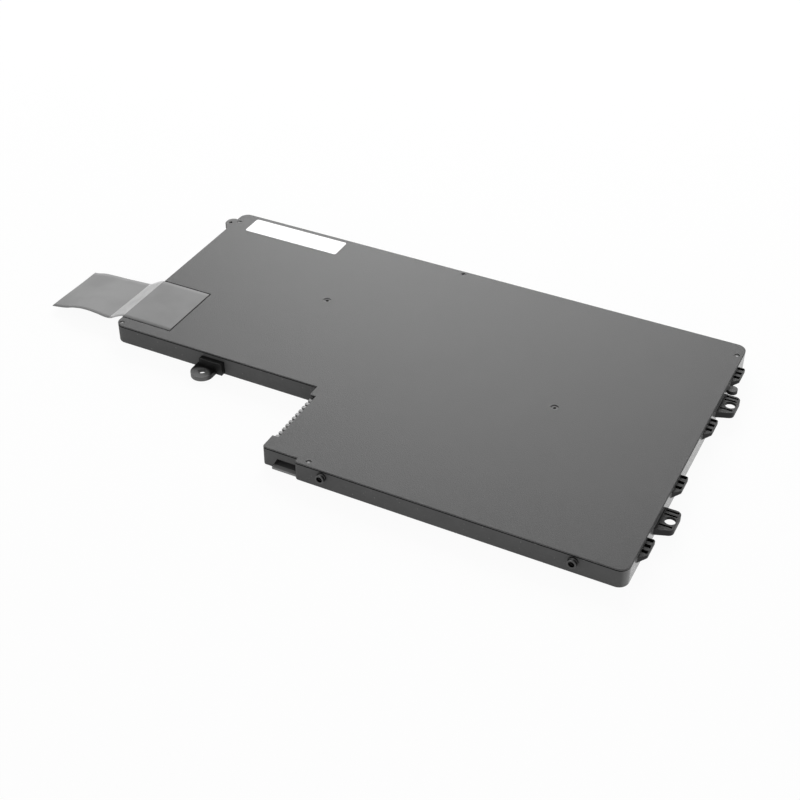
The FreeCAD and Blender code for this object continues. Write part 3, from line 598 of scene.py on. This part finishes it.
@dataclass(frozen=True)
class TrayPlastic:
    """The tray's deep grey plastic: matt walls, a smoother right wall with a paler tone that is painted light, and
    black ears, lugs and pegs.
    """

    marks: Landmarks
    name: str = "tray_plastic"
    wall_tone: Triple = grey(79)
    # Painted light: the right wall's paler tone stands in for the glare that it catches; its smoother finish is
    # real.
    right_wall_painted_light_tone: Triple = grey(105)
    ear_tone: Triple = grey(8)
    # The snap boss's own paler tone, also used for the highlights painted on the pegs' ends and bands.
    boss_tone_and_peg_highlight: Triple = grey(78)
    # Painted highlight on the front ear's round top.
    front_ear_highlight_tone: Triple = grey(100)
    # Painted light: the ledge below the latch recess is painted this paler tone because it lies in shade.
    ledge_painted_light_tone: Triple = grey(140)
    nick_tone: Triple = grey(120)
    # Painted shade: the near-black painted on the walls' top under the cover's flange, in the seam.
    shade: Triple = grey(4)
    wall_roughness: float = 0.62
    right_roughness: float = 0.06
    ear_roughness: float = 0.5
    specular: float = 0.3
    mottle: float = 0.05
    clouds: Cloud = Cloud(6.0, 3.0, 0.6)
    nicks: Cloud = Cloud(0.9, 0.0)
    nick_range: Pair = (0.8, 0.83)
    edge: float = 0.08
    past_wall: Pair = (0.08, 0.24)
    in_notch: Pair = (2.5, 1.5)
    right_run: Pair = (2.4, 0.1)
    boss: Pair = (121.75, 45.85)
    boss_radius: float = 2.3
    # Painted highlight: its centre on the front ear and its radius.
    front_ear: Pair = (-73.9, -37.4)
    front_ear_highlight_radius: float = 5.2
    # Painted highlights on the pegs: how far before the front wall their ends start, and the band round their
    # shafts.
    peg_highlight_tip: float = 2.0
    peg_highlight_band: Pair = (0.7, 1.1)
    # Painted shade: the walls are painted near-black above this depth below the cover's top, with this soft edge.
    rim_drop: float = 0.81
    rim_edge: float = 0.04
    # Painted light: the ledge's box, from the notch's side, its length, its height and its depth behind the front
    # wall.
    ledge_from_notch: float = 4.4
    ledge_length: float = 10.6
    ledge_height: float = 1.05
    ledge_back: float = 3.2

    def outside(self, shading: Shading) -> Socket:
        """Where the ears, lugs and pegs are, as 1 outside the walls and 0 on them.

        Args:
            shading: the material that is being built.

        Returns:
            The socket with the mask.
        """
        near, far = (gap * MM for gap in self.past_wall)
        right, front, notch = self.marks.right_wall, self.marks.front_wall, self.marks.notch_wall
        start, end = (self.marks.notch_side - gap * MM for gap in self.in_notch)
        return shading.either(
            shading.beyond(Axis.X, right + near, right + far),
            shading.before(Axis.Y, front - far, front - near),
            shading.every(shading.before(Axis.Y, notch - far, notch - near), shading.before(Axis.X, start, end)),
        )

    def painted_peg_highlights(self, shading: Shading) -> Socket:
        """Where highlights are painted on the pegs: on their ends, and in a band round their shafts.

        Args:
            shading: the material that is being built.

        Returns:
            The socket with the mask.
        """
        front, edge = self.marks.front_wall, self.edge * MM
        near, far, tip = (front - reach * MM for reach in (*self.peg_highlight_band, self.peg_highlight_tip))
        return shading.either(
            shading.before(Axis.Y, tip - edge, tip),
            shading.every(shading.before(Axis.Y, near - edge, near), shading.beyond(Axis.Y, far - edge, far)),
        )

    def ledge(self, shading: Shading) -> Socket:
        """Where the ledge below the latch recess is, which is painted paler as painted light because it lies in
        shade.

        Args:
            shading: the material that is being built.

        Returns:
            The socket with the mask.
        """
        edge, top = self.edge * MM, self.ledge_height * MM
        left = self.marks.notch_side + self.ledge_from_notch * MM
        right = left + self.ledge_length * MM
        back = self.marks.front_wall + self.ledge_back * MM
        return shading.every(
            shading.before(Axis.Z, top, top + edge),
            shading.beyond(Axis.X, left - edge, left),
            shading.before(Axis.X, right, right + edge),
            shading.before(Axis.Y, back, back + edge),
        )

    def right_side(self, shading: Shading) -> Socket:
        """Where the smoother right wall is, with a soft run into the walls beside it.

        Args:
            shading: the material that is being built.

        Returns:
            The socket with the mask.
        """
        start, end = (self.marks.right_wall - gap * MM for gap in self.right_run)
        return shading.beyond(Axis.X, start, end)

    def wall(self, shading: Shading) -> Socket:
        """The walls' colour: small differences of tone, a few pale nicks, painted light on the ledge, painted shade
        in the seam, and painted light on the right wall.

        Args:
            shading: the material that is being built.

        Returns:
            The socket with the colour.
        """
        rim = self.marks.top - self.rim_drop * MM
        tone = shading.mottled(shading.evened(shading.noise(self.clouds)), self.wall_tone, self.mottle)
        for mask, colour in (
            (shading.spread(shading.noise(self.nicks), *self.nick_range), self.nick_tone),
            # Painted light on the ledge.
            (self.ledge(shading), self.ledge_painted_light_tone),
            # Painted shade in the seam under the cover's flange.
            (shading.beyond(Axis.Z, rim - self.rim_edge * MM, rim), self.shade),
            # Painted light: the right wall's paler tone.
            (self.right_side(shading), self.right_wall_painted_light_tone),
        ):
            tone = shading.mixed(mask, tone, colour)
        return tone

    def stand_out(self, shading: Shading) -> Socket:
        """The colour of the ears, lugs and pegs, with the paler snap boss, a painted highlight on the front ear and
        painted highlights on the pegs' ends and bands.

        Args:
            shading: the material that is being built.

        Returns:
            The socket with the colour.
        """
        tone = shading.mixed(shading.near(self.boss, self.boss_radius), self.ear_tone, self.boss_tone_and_peg_highlight)
        # Painted highlight on the front ear.
        tone = shading.mixed(shading.near(self.front_ear, self.front_ear_highlight_radius), tone, self.front_ear_highlight_tone)
        # Painted highlights on the pegs' ends and bands.
        return shading.mixed(self.painted_peg_highlights(shading), tone, self.boss_tone_and_peg_highlight)

    def material(self) -> bpy.types.Material:
        """Build the material.

        Returns:
            The new material.
        """
        shading = Shading(self.name)
        mask = self.outside(shading)
        smoothed = shading.combine("MULTIPLY", self.right_side(shading), self.right_roughness - self.wall_roughness)
        walls = shading.combine("ADD", smoothed, self.wall_roughness)
        on_walls = shading.combine("MULTIPLY", walls, shading.spread(mask, 0.0, 1.0, 1.0, 0.0))
        on_ears = shading.combine("MULTIPLY", mask, self.ear_roughness)
        shading.feed(
            Base_Color=shading.mixed(mask, self.wall(shading), self.stand_out(shading)),
            Roughness=shading.combine("ADD", on_walls, on_ears),
            Normal=shading.grained(Grain.SPARKED),
        )
        shading.settle(Specular_IOR_Level=self.specular)
        return shading.material


@dataclass(frozen=True)
class FineTexture:
    """Plain stuff whose tone and relief follow one fine texture, such as a paper's fibres or a foam's cells."""

    name: str
    low_tone: Triple
    high_tone: Triple
    texture: Cloud | float
    texture_range: Pair
    depth: float
    roughness: float
    specular: float = 0.5

    def material(self) -> bpy.types.Material:
        """Build the material.

        Returns:
            The new material.
        """
        shading = Shading(self.name)
        source = shading.noise if isinstance(self.texture, Cloud) else shading.cells
        texture = source(self.texture)
        shading.feed(
            Base_Color=shading.mixed(shading.spread(texture, *self.texture_range), self.low_tone, self.high_tone),
            Normal=shading.relief(texture, self.depth),
        )
        shading.settle(Roughness=self.roughness, Specular_IOR_Level=self.specular)
        return shading.material


@dataclass(frozen=True)
class PlasticFilm:
    """Thin film with a slightly uneven surface; a share of the light passes through it."""

    name: str
    tone: Triple
    passing: float
    roughness: float = 0.55
    specular: float = 0.1
    haze: Cloud = Cloud(14.0)
    haze_shades: Pair = (0.95, 1.06)
    ripples: Cloud = Cloud(7.0, 1.0, 0.4, (0.5, 1.0, 1.0))
    ripple_depth: float = 0.05

    def material(self) -> bpy.types.Material:
        """Build the material.

        Returns:
            The new material.
        """
        shading = Shading(self.name)
        darker, lighter = (scaled(self.tone, share) for share in self.haze_shades)
        shading.feed(
            Base_Color=shading.mixed(shading.evened(shading.noise(self.haze)), darker, lighter),
            Normal=shading.relief(shading.noise(self.ripples), self.ripple_depth),
        )
        shading.settle(
            Roughness=self.roughness, Transmission_Weight=self.passing, IOR=1.3, Specular_IOR_Level=self.specular
        )
        return shading.material


@dataclass(frozen=True)
class Metal:
    """Rolled, plated or laminated metal: fine lines along one direction, and patches that are worn or dented."""

    name: str
    tone: Triple
    roughness: Pair
    metallic: float = 1.0
    lines: Cloud = Cloud(0.25, 2.0, 0.6, (0.1, 1.0, 1.0))
    line_depth: float = 0.004
    patches: Cloud = Cloud(3.0, 3.0, 0.6)
    patch_range: Pair = (0.35, 0.7)
    patch_shade: float = 0.9
    patch_depth: float = 0.0

    def material(self) -> bpy.types.Material:
        """Build the material.

        Returns:
            The new material.
        """
        shading = Shading(self.name)
        lines, patches = shading.noise(self.lines), shading.noise(self.patches)
        share = shading.spread(patches, *self.patch_range)
        dents = shading.relief(patches, self.patch_depth) if self.patch_depth else None
        shading.feed(
            Base_Color=shading.mixed(share, self.tone, scaled(self.tone, self.patch_shade)),
            Roughness=shading.evened(lines, *self.roughness),
            Normal=shading.relief(lines, self.line_depth, dents),
        )
        shading.settle(Metallic=self.metallic)
        return shading.material


@dataclass(frozen=True)
class SolderMask:
    """Green mask over the board's weave, with tracks that shine through it."""

    name: str = "solder_mask"
    tone: Triple = (0.012, 0.085, 0.035)
    track: Triple = (0.03, 0.16, 0.06)
    track_spacing: float = 3.4
    track_range: Pair = (0.05, 0.09)
    track_height: float = 0.02
    weave: Cloud = Cloud(0.6, 1.0, 0.4)
    roughness: Pair = (0.22, 0.32)

    def material(self) -> bpy.types.Material:
        """Build the material.

        Returns:
            The new material.
        """
        shading = Shading(self.name)
        edges = shading.cells(self.track_spacing, "DISTANCE_TO_EDGE")
        tracks = shading.spread(edges, *self.track_range, 1.0, 0.0)
        shading.feed(
            Base_Color=shading.mixed(tracks, self.tone, self.track),
            Roughness=shading.evened(shading.noise(self.weave), *self.roughness),
            Normal=shading.relief(tracks, self.track_height),
        )
        return shading.material


class Slot(Enum):
    """The record's material slots, by the piece that each one is for."""

    HOUSING = "housing"
    COVER = "cover"
    CONNECTOR = "connector"
    CONTACT = "contact"
    BOARD = "board"
    CHIP = "chip"
    CERAMIC = "ceramic"
    AMBER_FILM = "amber_film"
    POUCH = "pouch"
    NICKEL = "nickel"
    ALUMINIUM_TAB = "aluminium_tab"
    TAPE = "tape"
    FOAM = "foam"
    LABEL = "label"
    GREY_FILM = "grey_film"


PAPER_FIBRES = Cloud(0.35, 3.0, 0.6, (0.5, 1.0, 1.0))
POUCH_FOIL = Metal(
    "pouch_foil",
    grey(205),
    (0.3, 0.42),
    metallic=0.85,
    lines=Cloud(0.5, 2.0, 0.6),
    line_depth=0.006,
    patches=Cloud(11.0),
    patch_range=(0.35, 0.65),
    patch_shade=0.8634,
    patch_depth=0.12,
)
PLAIN_FINISHES = {
    Slot.CONNECTOR: MouldedPlastic("connector_plastic", grey(118), Grain.SATIN, (0.35, 0.45)),
    Slot.CONTACT: Metal("gold_plating", (0.83, 0.55, 0.2), (0.17, 0.33)),
    Slot.BOARD: SolderMask(),
    Slot.CHIP: MouldedPlastic("chip_moulding", grey(38), Grain.SATIN, (0.5, 0.6)),
    Slot.CERAMIC: MouldedPlastic("fired_ceramic", (0.32, 0.22, 0.13), Grain.SATIN, (0.45, 0.55)),
    Slot.AMBER_FILM: PlasticFilm("amber_film", (0.55, 0.22, 0.03), 0.5, 0.2, 0.5),
    Slot.POUCH: POUCH_FOIL,
    Slot.NICKEL: Metal("rolled_nickel", (0.6, 0.57, 0.5), (0.24, 0.4)),
    Slot.ALUMINIUM_TAB: Metal("rolled_aluminium", (0.78, 0.78, 0.8), (0.22, 0.38)),
    Slot.TAPE: MouldedPlastic("white_tape", grey(225), Grain.SATIN, (0.55, 0.65)),
    Slot.FOAM: FineTexture("cell_foam", grey(24), grey(48), 0.35, (0.1, 0.6), 0.12, 0.95, 0.2),
    Slot.LABEL: FineTexture("label_paper", grey(250), grey(244), PAPER_FIBRES, (0.3, 0.7), 0.004, 0.42),
    Slot.GREY_FILM: PlasticFilm("grey_film", grey(144), 0.0),
}


class Finishes:
    """Builds each slot's material once and dresses the carried-over nodes with them."""

    def __init__(self, frame: dict, marks: Landmarks) -> None:
        """Build the materials.

        Args:
            frame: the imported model's frame.
            marks: the walls and levels that the housing's finishes go by.
        """
        self.frame = frame
        finishes = {Slot.HOUSING: TrayPlastic(marks), Slot.COVER: CoverPlastic(marks), **PLAIN_FINISHES}
        self.materials = {slot: finish.material() for slot, finish in finishes.items()}

    def of(self, slot: Slot) -> bpy.types.Material:
        """The material of a slot."""
        return self.materials[slot]

    def dress(self) -> None:
        """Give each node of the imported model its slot's material."""
        slots = {entry["node"]: entry["material_slot"] for entry in self.frame["record"]["subparts"]}
        for name, node in self.frame["nodes"].items():
            node.data.materials.clear()
            node.data.materials.append(self.of(Slot(slots[name])))
            LOG.info("%s dressed as %s", name, slots[name])


class GeometryTree:
    """A Geometry Nodes tree with named inputs, from its first node to the plain mesh that comes out."""

    def __init__(self, name: str) -> None:
        """Start the tree with a geometry output.

        Args:
            name: the tree's name.
        """
        self.tree = bpy.data.node_groups.new(name, "GeometryNodeTree")
        self.tree.interface.new_socket("Geometry", in_out="OUTPUT", socket_type="NodeSocketGeometry")
        self.inputs = self.tree.nodes.new("NodeGroupInput")
        self.output = self.tree.nodes.new("NodeGroupOutput")
        self.values: dict[str, float | int | bpy.types.ID] = {}
        self.coat: bpy.types.Material | None = None

    def size(self, name: str, value: float | int | bpy.types.ID, kind: str = "NodeSocketFloat") -> Socket:
        """Add a named input and keep the value that it gets.

        Args:
            name: the input's name.
            value: the input's value.
            kind: the socket's type.

        Returns:
            The input's socket inside the tree.
        """
        socket = self.tree.interface.new_socket(name, in_out="INPUT", socket_type=kind)
        self.values[socket.identifier] = value
        return self.inputs.outputs[name]

    def node(self, kind: str, **settings: object) -> bpy.types.Node:
        """Add a node.

        Args:
            kind: the node's type.
            settings: the node's own settings.

        Returns:
            The new node.
        """
        node = self.tree.nodes.new(kind)
        for name, setting in settings.items():
            setattr(node, name, setting)
        return node

    def link(self, source: Socket, target: Socket) -> None:
        """Join an output to an input."""
        self.tree.links.new(source, target)

    def fill(self, node: bpy.types.Node, *values: Socket | float) -> Socket:
        """Give a node's first inputs their values.

        Args:
            node: the node.
            values: the values, each a socket to link or a number to set.

        Returns:
            The node's first output.
        """
        for socket, value in zip(node.inputs, values):
            if isinstance(value, Socket):
                self.link(value, socket)
            else:
                socket.default_value = value
        return node.outputs[0]

    def arithmetic(self, operation: str, first: Socket | float, second: Socket | float = 0.0) -> Socket:
        """One step of arithmetic.

        Args:
            operation: the Math node's operation.
            first: the first value or a number.
            second: the second value or a number, if the operation takes one.

        Returns:
            The socket with the result.
        """
        return self.fill(self.node("ShaderNodeMath", operation=operation), first, second)

    def place(self, across: Socket | float, along: Socket | float, up: Socket | float) -> Socket:
        """A point from its three coordinates.

        Args:
            across: the place along X.
            along: the place along Y.
            up: the place along Z.

        Returns:
            The socket with the point.
        """
        return self.fill(self.node("ShaderNodeCombineXYZ"), across, along, up)

    def finish(self, geometry: Socket, material: bpy.types.Material) -> None:
        """End the tree with real geometry in one material.

        Args:
            geometry: what the tree has made.
            material: the material that it gets.
        """
        self.coat = material
        real = self.node("GeometryNodeRealizeInstances")
        coat = self.node("GeometryNodeSetMaterial")
        coat.inputs["Material"].default_value = material
        self.link(geometry, real.inputs["Geometry"])
        self.link(real.outputs["Geometry"], coat.inputs["Geometry"])
        self.link(coat.outputs["Geometry"], self.output.inputs["Geometry"])

    def piece(self, name: str) -> bpy.types.Object:
        """Run the tree and keep its result as a plain mesh at the origin.

        Args:
            name: the piece's name.

        Returns:
            The new object.
        """
        carrier = bpy.data.objects.new(name + "_tree", bpy.data.meshes.new(name + "_tree"))
        bpy.context.collection.objects.link(carrier)
        modifier = carrier.modifiers.new("tree", "NODES")
        modifier.node_group = self.tree
        for identifier, value in self.values.items():
            modifier[identifier] = value
        depsgraph = bpy.context.evaluated_depsgraph_get()
        mesh = bpy.data.meshes.new_from_object(carrier.evaluated_get(depsgraph))
        bpy.data.objects.remove(carrier)
        mesh.materials.clear()
        mesh.materials.append(self.coat)
        for face in mesh.polygons:
            face.material_index = 0
        piece = bpy.data.objects.new(name, mesh)
        mesh.name = name
        bpy.context.collection.objects.link(piece)
        return piece


def ride_on_pack(piece: bpy.types.Object) -> None:
    """Let a finished piece move with the pack.

    Args:
        piece: the finished piece.
    """
    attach(piece, "root")


@dataclass
class PullFilm:
    """The pull film: stuck on the cover, over the left edge in a paler band, then a wavy free flap; the band and
    the flap are painted paler as painted light for the light that shines through them.
    """

    finishes: Finishes
    marks: Landmarks
    thickness: float = 0.15
    steps: int = 152
    rows: int = 16
    ripple: float = 0.1
    ripple_radians: float = 7.0
    band: Pair = (0.2, 7.9)
    # Painted light: the band and the flap are paler copies of the grey film for the light that shines through them.
    clear: PlasticFilm = PlasticFilm("clear_film_painted_light", grey(206), 0.25)
    flap: PlasticFilm = PlasticFilm("flap_film_painted_light", grey(151), 0.0)
    front_edge: tuple[Pair, ...] = (
        (0.0, 0.0), (0.6, 0.05), (2.2, 0.6), (5.4, 2.2), (7.7, 3.2), (9.2, 3.3),
        (14.0, 2.8), (20.0, 2.55), (25.0, 3.2), (31.0, 4.9), (36.4, 5.8), (37.6, 5.9),
    )
    back_edge: tuple[Pair, ...] = (
        (0.0, 0.0), (0.6, 0.05), (2.2, 0.7), (5.4, 2.5), (7.9, 3.7), (10.5, 3.9),
        (14.0, 4.1), (20.0, 4.5), (26.0, 4.75), (31.0, 5.1), (36.0, 6.2), (37.6, 6.4),
    )

    def edge_height(self, tree: GeometryTree, share: Socket, edge: tuple[Pair, ...]) -> Socket:
        """The height of one edge of the film along its run, as a share of the cover's height.

        Args:
            tree: the tree that is being built.
            share: how far along the run a point is, from 0 at the stuck end to 1 at the tip.
            edge: how far the edge lies below the cover's top at distances outside the left wall.

        Returns:
            The socket with the height share.
        """
        node = tree.node("ShaderNodeFloatCurve")
        curve = node.mapping.curves[0]
        low, high = self.marks.film
        run = (high.x - low.x) / MM
        stuck = (high.x - self.marks.left_wall) / MM
        top = self.marks.top / MM
        points = [(0.0, 1.0), (0.5 * stuck / run, 1.0)]
        points += [((stuck + outside) / run, 1.0 - drop / top) for outside, drop in edge]
        curve.points[0].location = points[0]
        curve.points[1].location = points[-1]
        for point in points[1:-1]:
            curve.points.new(*point)
        node.mapping.update()
        tree.link(share, node.inputs["Value"])
        return node.outputs["Value"]

    def build(self) -> None:
        """Build the film and let it stand for the plain one."""
        tree = GeometryTree("pull_film_rule")
        low, high = self.marks.film
        run = tree.size("Run", high.x - low.x)
        width = tree.size("Width", high.y - low.y)
        top = tree.size("Cover Height", self.marks.top)
        ripple = tree.size("Ripple", self.ripple * MM)
        sheet = tree.node("GeometryNodeMeshGrid")
        sheet.inputs["Vertices X"].default_value = self.steps
        sheet.inputs["Vertices Y"].default_value = self.rows
        tree.link(run, sheet.inputs["Size X"])
        tree.link(width, sheet.inputs["Size Y"])
        place = tree.node("GeometryNodeInputPosition")
        parts = tree.node("ShaderNodeSeparateXYZ")
        tree.link(place.outputs[0], parts.inputs[0])
        share = tree.arithmetic("SUBTRACT", 0.5, tree.arithmetic("DIVIDE", parts.outputs["X"], run))
        side = tree.arithmetic("ADD", tree.arithmetic("DIVIDE", parts.outputs["Y"], width), 0.5)
        front = self.edge_height(tree, share, self.front_edge)
        back = self.edge_height(tree, share, self.back_edge)
        between = tree.node("ShaderNodeMix")
        tree.link(side, between.inputs[0])
        tree.link(front, between.inputs[2])
        tree.link(back, between.inputs[3])
        height = tree.arithmetic("MULTIPLY", between.outputs[0], top)
        waves = tree.arithmetic("SINE", tree.arithmetic("MULTIPLY", side, self.ripple_radians))
        free = tree.arithmetic("SUBTRACT", 1.0, between.outputs[0])
        lift = tree.arithmetic("MULTIPLY", tree.arithmetic("MULTIPLY", waves, free), ripple)
        moved = tree.node("GeometryNodeSetPosition")
        tree.link(sheet.outputs["Mesh"], moved.inputs["Geometry"])
        target = tree.place(
            tree.arithmetic("ADD", parts.outputs["X"], 0.5 * (low.x + high.x)),
            tree.arithmetic("ADD", parts.outputs["Y"], 0.5 * (low.y + high.y)),
            tree.arithmetic("ADD", height, lift),
        )
        tree.link(target, moved.inputs["Position"])
        tree.finish(moved.outputs["Geometry"], self.finishes.of(Slot.GREY_FILM))
        film = tree.piece("film_surface")
        self.paint_light_through_film(film)
        wall = film.modifiers.new("thickness", "SOLIDIFY")
        wall.thickness = self.thickness * MM
        wall.offset = -1.0
        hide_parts("pull_tab")
        LOG.info("film built with %d faces", len(film.data.polygons))
        ride_on_pack(film)

    def paint_light_through_film(self, film: bpy.types.Object) -> None:
        """Give the clear band beside the pack and the flap their own paler materials: painted light for the light
        that shines through them.

        Args:
            film: the film's mesh.
        """
        for finish in (self.clear, self.flap):
            film.data.materials.append(finish.material())
        near, far = (limit * MM for limit in self.band)
        for face in film.data.polygons:
            face.use_smooth = True
            outside = self.marks.left_wall - face.center.x
            face.material_index = 0 if outside < near else 1 if outside < far else 2


@dataclass
class SolderJoints:
    """Solder fillets where the contacts' tails lie on the board."""

    finishes: Finishes
    count: int = 10
    radius: float = 0.42
    tip_share: float = 0.45
    height_share: float = 0.8
    sunk: float = 0.1
    sides: int = 20
    rings: int = 3

    def build(self) -> None:
        """Build the row of fillets."""
        first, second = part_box("connector_contact_01"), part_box("connector_contact_02")
        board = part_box("protection_board")
        start = (first[1][0], 0.5 * (first[0][1] + first[1][1]), board[1][2] - self.sunk * MM)
        tree = GeometryTree("solder_row")
        count = tree.size("Count", self.count, "NodeSocketInt")
        pitch = tree.size("Pitch", second[0][1] - first[0][1])
        radius = tree.size("Radius", self.radius * MM)
        row = tree.node("GeometryNodeMeshLine")
        tree.link(count, row.inputs["Count"])
        row.inputs["Start Location"].default_value = start
        tree.link(tree.place(0.0, pitch, 0.0), row.inputs["Offset"])
        drop = tree.node("GeometryNodeMeshCone")
        drop.inputs["Vertices"].default_value = self.sides
        drop.inputs["Side Segments"].default_value = self.rings
        tree.link(radius, drop.inputs["Radius Bottom"])
        tree.link(tree.arithmetic("MULTIPLY", radius, self.tip_share), drop.inputs["Radius Top"])
        tree.link(tree.arithmetic("MULTIPLY", radius, self.height_share), drop.inputs["Depth"])
        copies = tree.node("GeometryNodeInstanceOnPoints")
        tree.link(row.outputs["Mesh"], copies.inputs["Points"])
        tree.link(drop.outputs["Mesh"], copies.inputs["Instance"])
        tree.finish(copies.outputs["Instances"], self.finishes.of(Slot.NICKEL))
        joints = tree.piece("contact_solder")
        for face in joints.data.polygons:
            face.use_smooth = True
        LOG.info("%d solder fillets built", self.count)
        ride_on_pack(joints)


@dataclass
class Camera:
    """The camera that took the picture, from the fit to the pack's edges."""

    place: Triple = (204.334, -415.202, 341.294)
    azimuth: float = 26.403
    elevation: float = 37.2151
    roll: float = 0.3176
    focal: float = 1422.33
    frame: float = 800.0
    sensor: float = 36.0
    reach: float = 20.0

    def build(self) -> None:
        """Build the camera and make it the scene's own."""
        lens = bpy.data.cameras.new("picture_camera")
        lens.sensor_width = self.sensor
        lens.lens = self.focal / self.frame * self.sensor
        lens.clip_end = self.reach
        camera = bpy.data.objects.new("picture_camera", lens)
        turn = Matrix.Rotation(math.radians(self.azimuth), 4, "Z")
        tilt = Matrix.Rotation(math.radians(90.0 - self.elevation), 4, "X")
        roll = Matrix.Rotation(math.radians(self.roll), 4, "Z")
        place = Matrix.Translation(Vector(self.place) * MM)
        camera.matrix_world = place @ turn @ tilt @ roll
        bpy.context.collection.objects.link(camera)
        bpy.context.scene.camera = camera


@dataclass(frozen=True)
class SoftLamp:
    """A square soft lamp, aimed at a point."""

    name: str
    place: Triple
    target: Triple
    size: float
    power: float

    def build(self) -> None:
        """Build the lamp."""
        light = bpy.data.lights.new(self.name, "AREA")
        light.shape = "SQUARE"
        light.size = self.size
        light.energy = self.power
        lamp = bpy.data.objects.new(self.name, light)
        aim = Vector(self.target) - Vector(self.place)
        lamp.matrix_world = Matrix.Translation(self.place) @ aim.to_track_quat("-Z", "Y").to_matrix().to_4x4()
        bpy.context.collection.objects.link(lamp)


@dataclass
class Studio:
    """A pale floor, an even pale surround and soft lamps."""

    surround: float = 0.43
    floor_size: float = 6.0
    floor_lift: float = 0.94
    floor_grain: Cloud = Cloud(40.0)
    floor_tones: tuple[Triple, Triple] = (grey(240), grey(246))
    lamps: tuple[SoftLamp, ...] = (
        SoftLamp("back_lamp", (-0.28, 1.0, 0.62), (-0.05, 0.02, 0.0), 0.7, 8.6),
        SoftLamp("left_lamp", (-0.6, 0.8, 0.5), (-0.05, 0.02, 0.0), 0.4, 3.2),
        SoftLamp("front_lamp", (0.1, -1.3, 0.4), (0.0, 0.0, 0.0), 1.0, 3.8),
        SoftLamp("right_lamp", (1.0, 0.0, 0.25), (0.1, 0.0, 0.0), 0.6, 1.4),
    )

    def floor_material(self) -> bpy.types.Material:
        """The floor's finish: white to the camera, and darker only where the pack shades it.

        Returns:
            The new material.
        """
        shading = Shading("white_floor")
        shading.feed(Base_Color=shading.mixed(shading.noise(self.floor_grain), *self.floor_tones))
        shading.settle(Roughness=0.9, Specular_IOR_Level=0.1)
        paths = shading.nodes.new("ShaderNodeLightPath")
        glow = shading.nodes.new("ShaderNodeEmission")
        glow.inputs["Strength"].default_value = 1.0
        seen = shading.either(*(paths.outputs[f"Is {ray} Ray"] for ray in ("Camera", "Glossy", "Transmission")))
        share = shading.combine("MULTIPLY", seen, self.floor_lift)
        mix = shading.nodes.new("ShaderNodeMixShader")
        output = shading.nodes["Material Output"]
        shading.links.new(share, mix.inputs["Fac"])
        shading.links.new(shading.shader.outputs["BSDF"], mix.inputs[1])
        shading.links.new(glow.outputs["Emission"], mix.inputs[2])
        shading.links.new(mix.outputs["Shader"], output.inputs["Surface"])
        return shading.material

    def build(self) -> None:
        """Build the floor, the surround and the lamps."""
        half = 0.5 * self.floor_size
        mesh = bpy.data.meshes.new("studio_floor")
        corners = [(-half, -half, 0.0), (half, -half, 0.0), (half, half, 0.0), (-half, half, 0.0)]
        mesh.from_pydata(corners, [], [(0, 1, 2, 3)])
        mesh.materials.append(self.floor_material())
        floor = bpy.data.objects.new("studio_floor", mesh)
        bpy.context.collection.objects.link(floor)
        world = bpy.data.worlds.new("studio_surround")
        bpy.context.scene.world = world
        world.use_nodes = True
        nodes, links = world.node_tree.nodes, world.node_tree.links
        soft = nodes["Background"]
        soft.inputs["Color"].default_value = (*grey(255), 1.0)
        soft.inputs["Strength"].default_value = self.surround
        white = nodes.new("ShaderNodeBackground")
        white.inputs["Strength"].default_value = 1.0
        paths = nodes.new("ShaderNodeLightPath")
        mix = nodes.new("ShaderNodeMixShader")
        links.new(paths.outputs["Is Camera Ray"], mix.inputs["Fac"])
        links.new(soft.outputs["Background"], mix.inputs[1])
        links.new(white.outputs["Background"], mix.inputs[2])
        links.new(mix.outputs["Shader"], nodes["World Output"].inputs["Surface"])
        for lamp in self.lamps:
            lamp.build()
        bpy.context.scene.view_settings.view_transform = "Standard"


def main() -> None:
    """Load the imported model, dress it, add the finer pieces and set up the studio."""
    logging.basicConfig(level=logging.INFO)
    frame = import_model()
    marks = Landmarks.read()
    finishes = Finishes(frame, marks)
    finishes.dress()
    PullFilm(finishes, marks).build()
    SolderJoints(finishes).build()
    Camera().build()
    Studio().build()


if __name__ == "__main__":
    main()
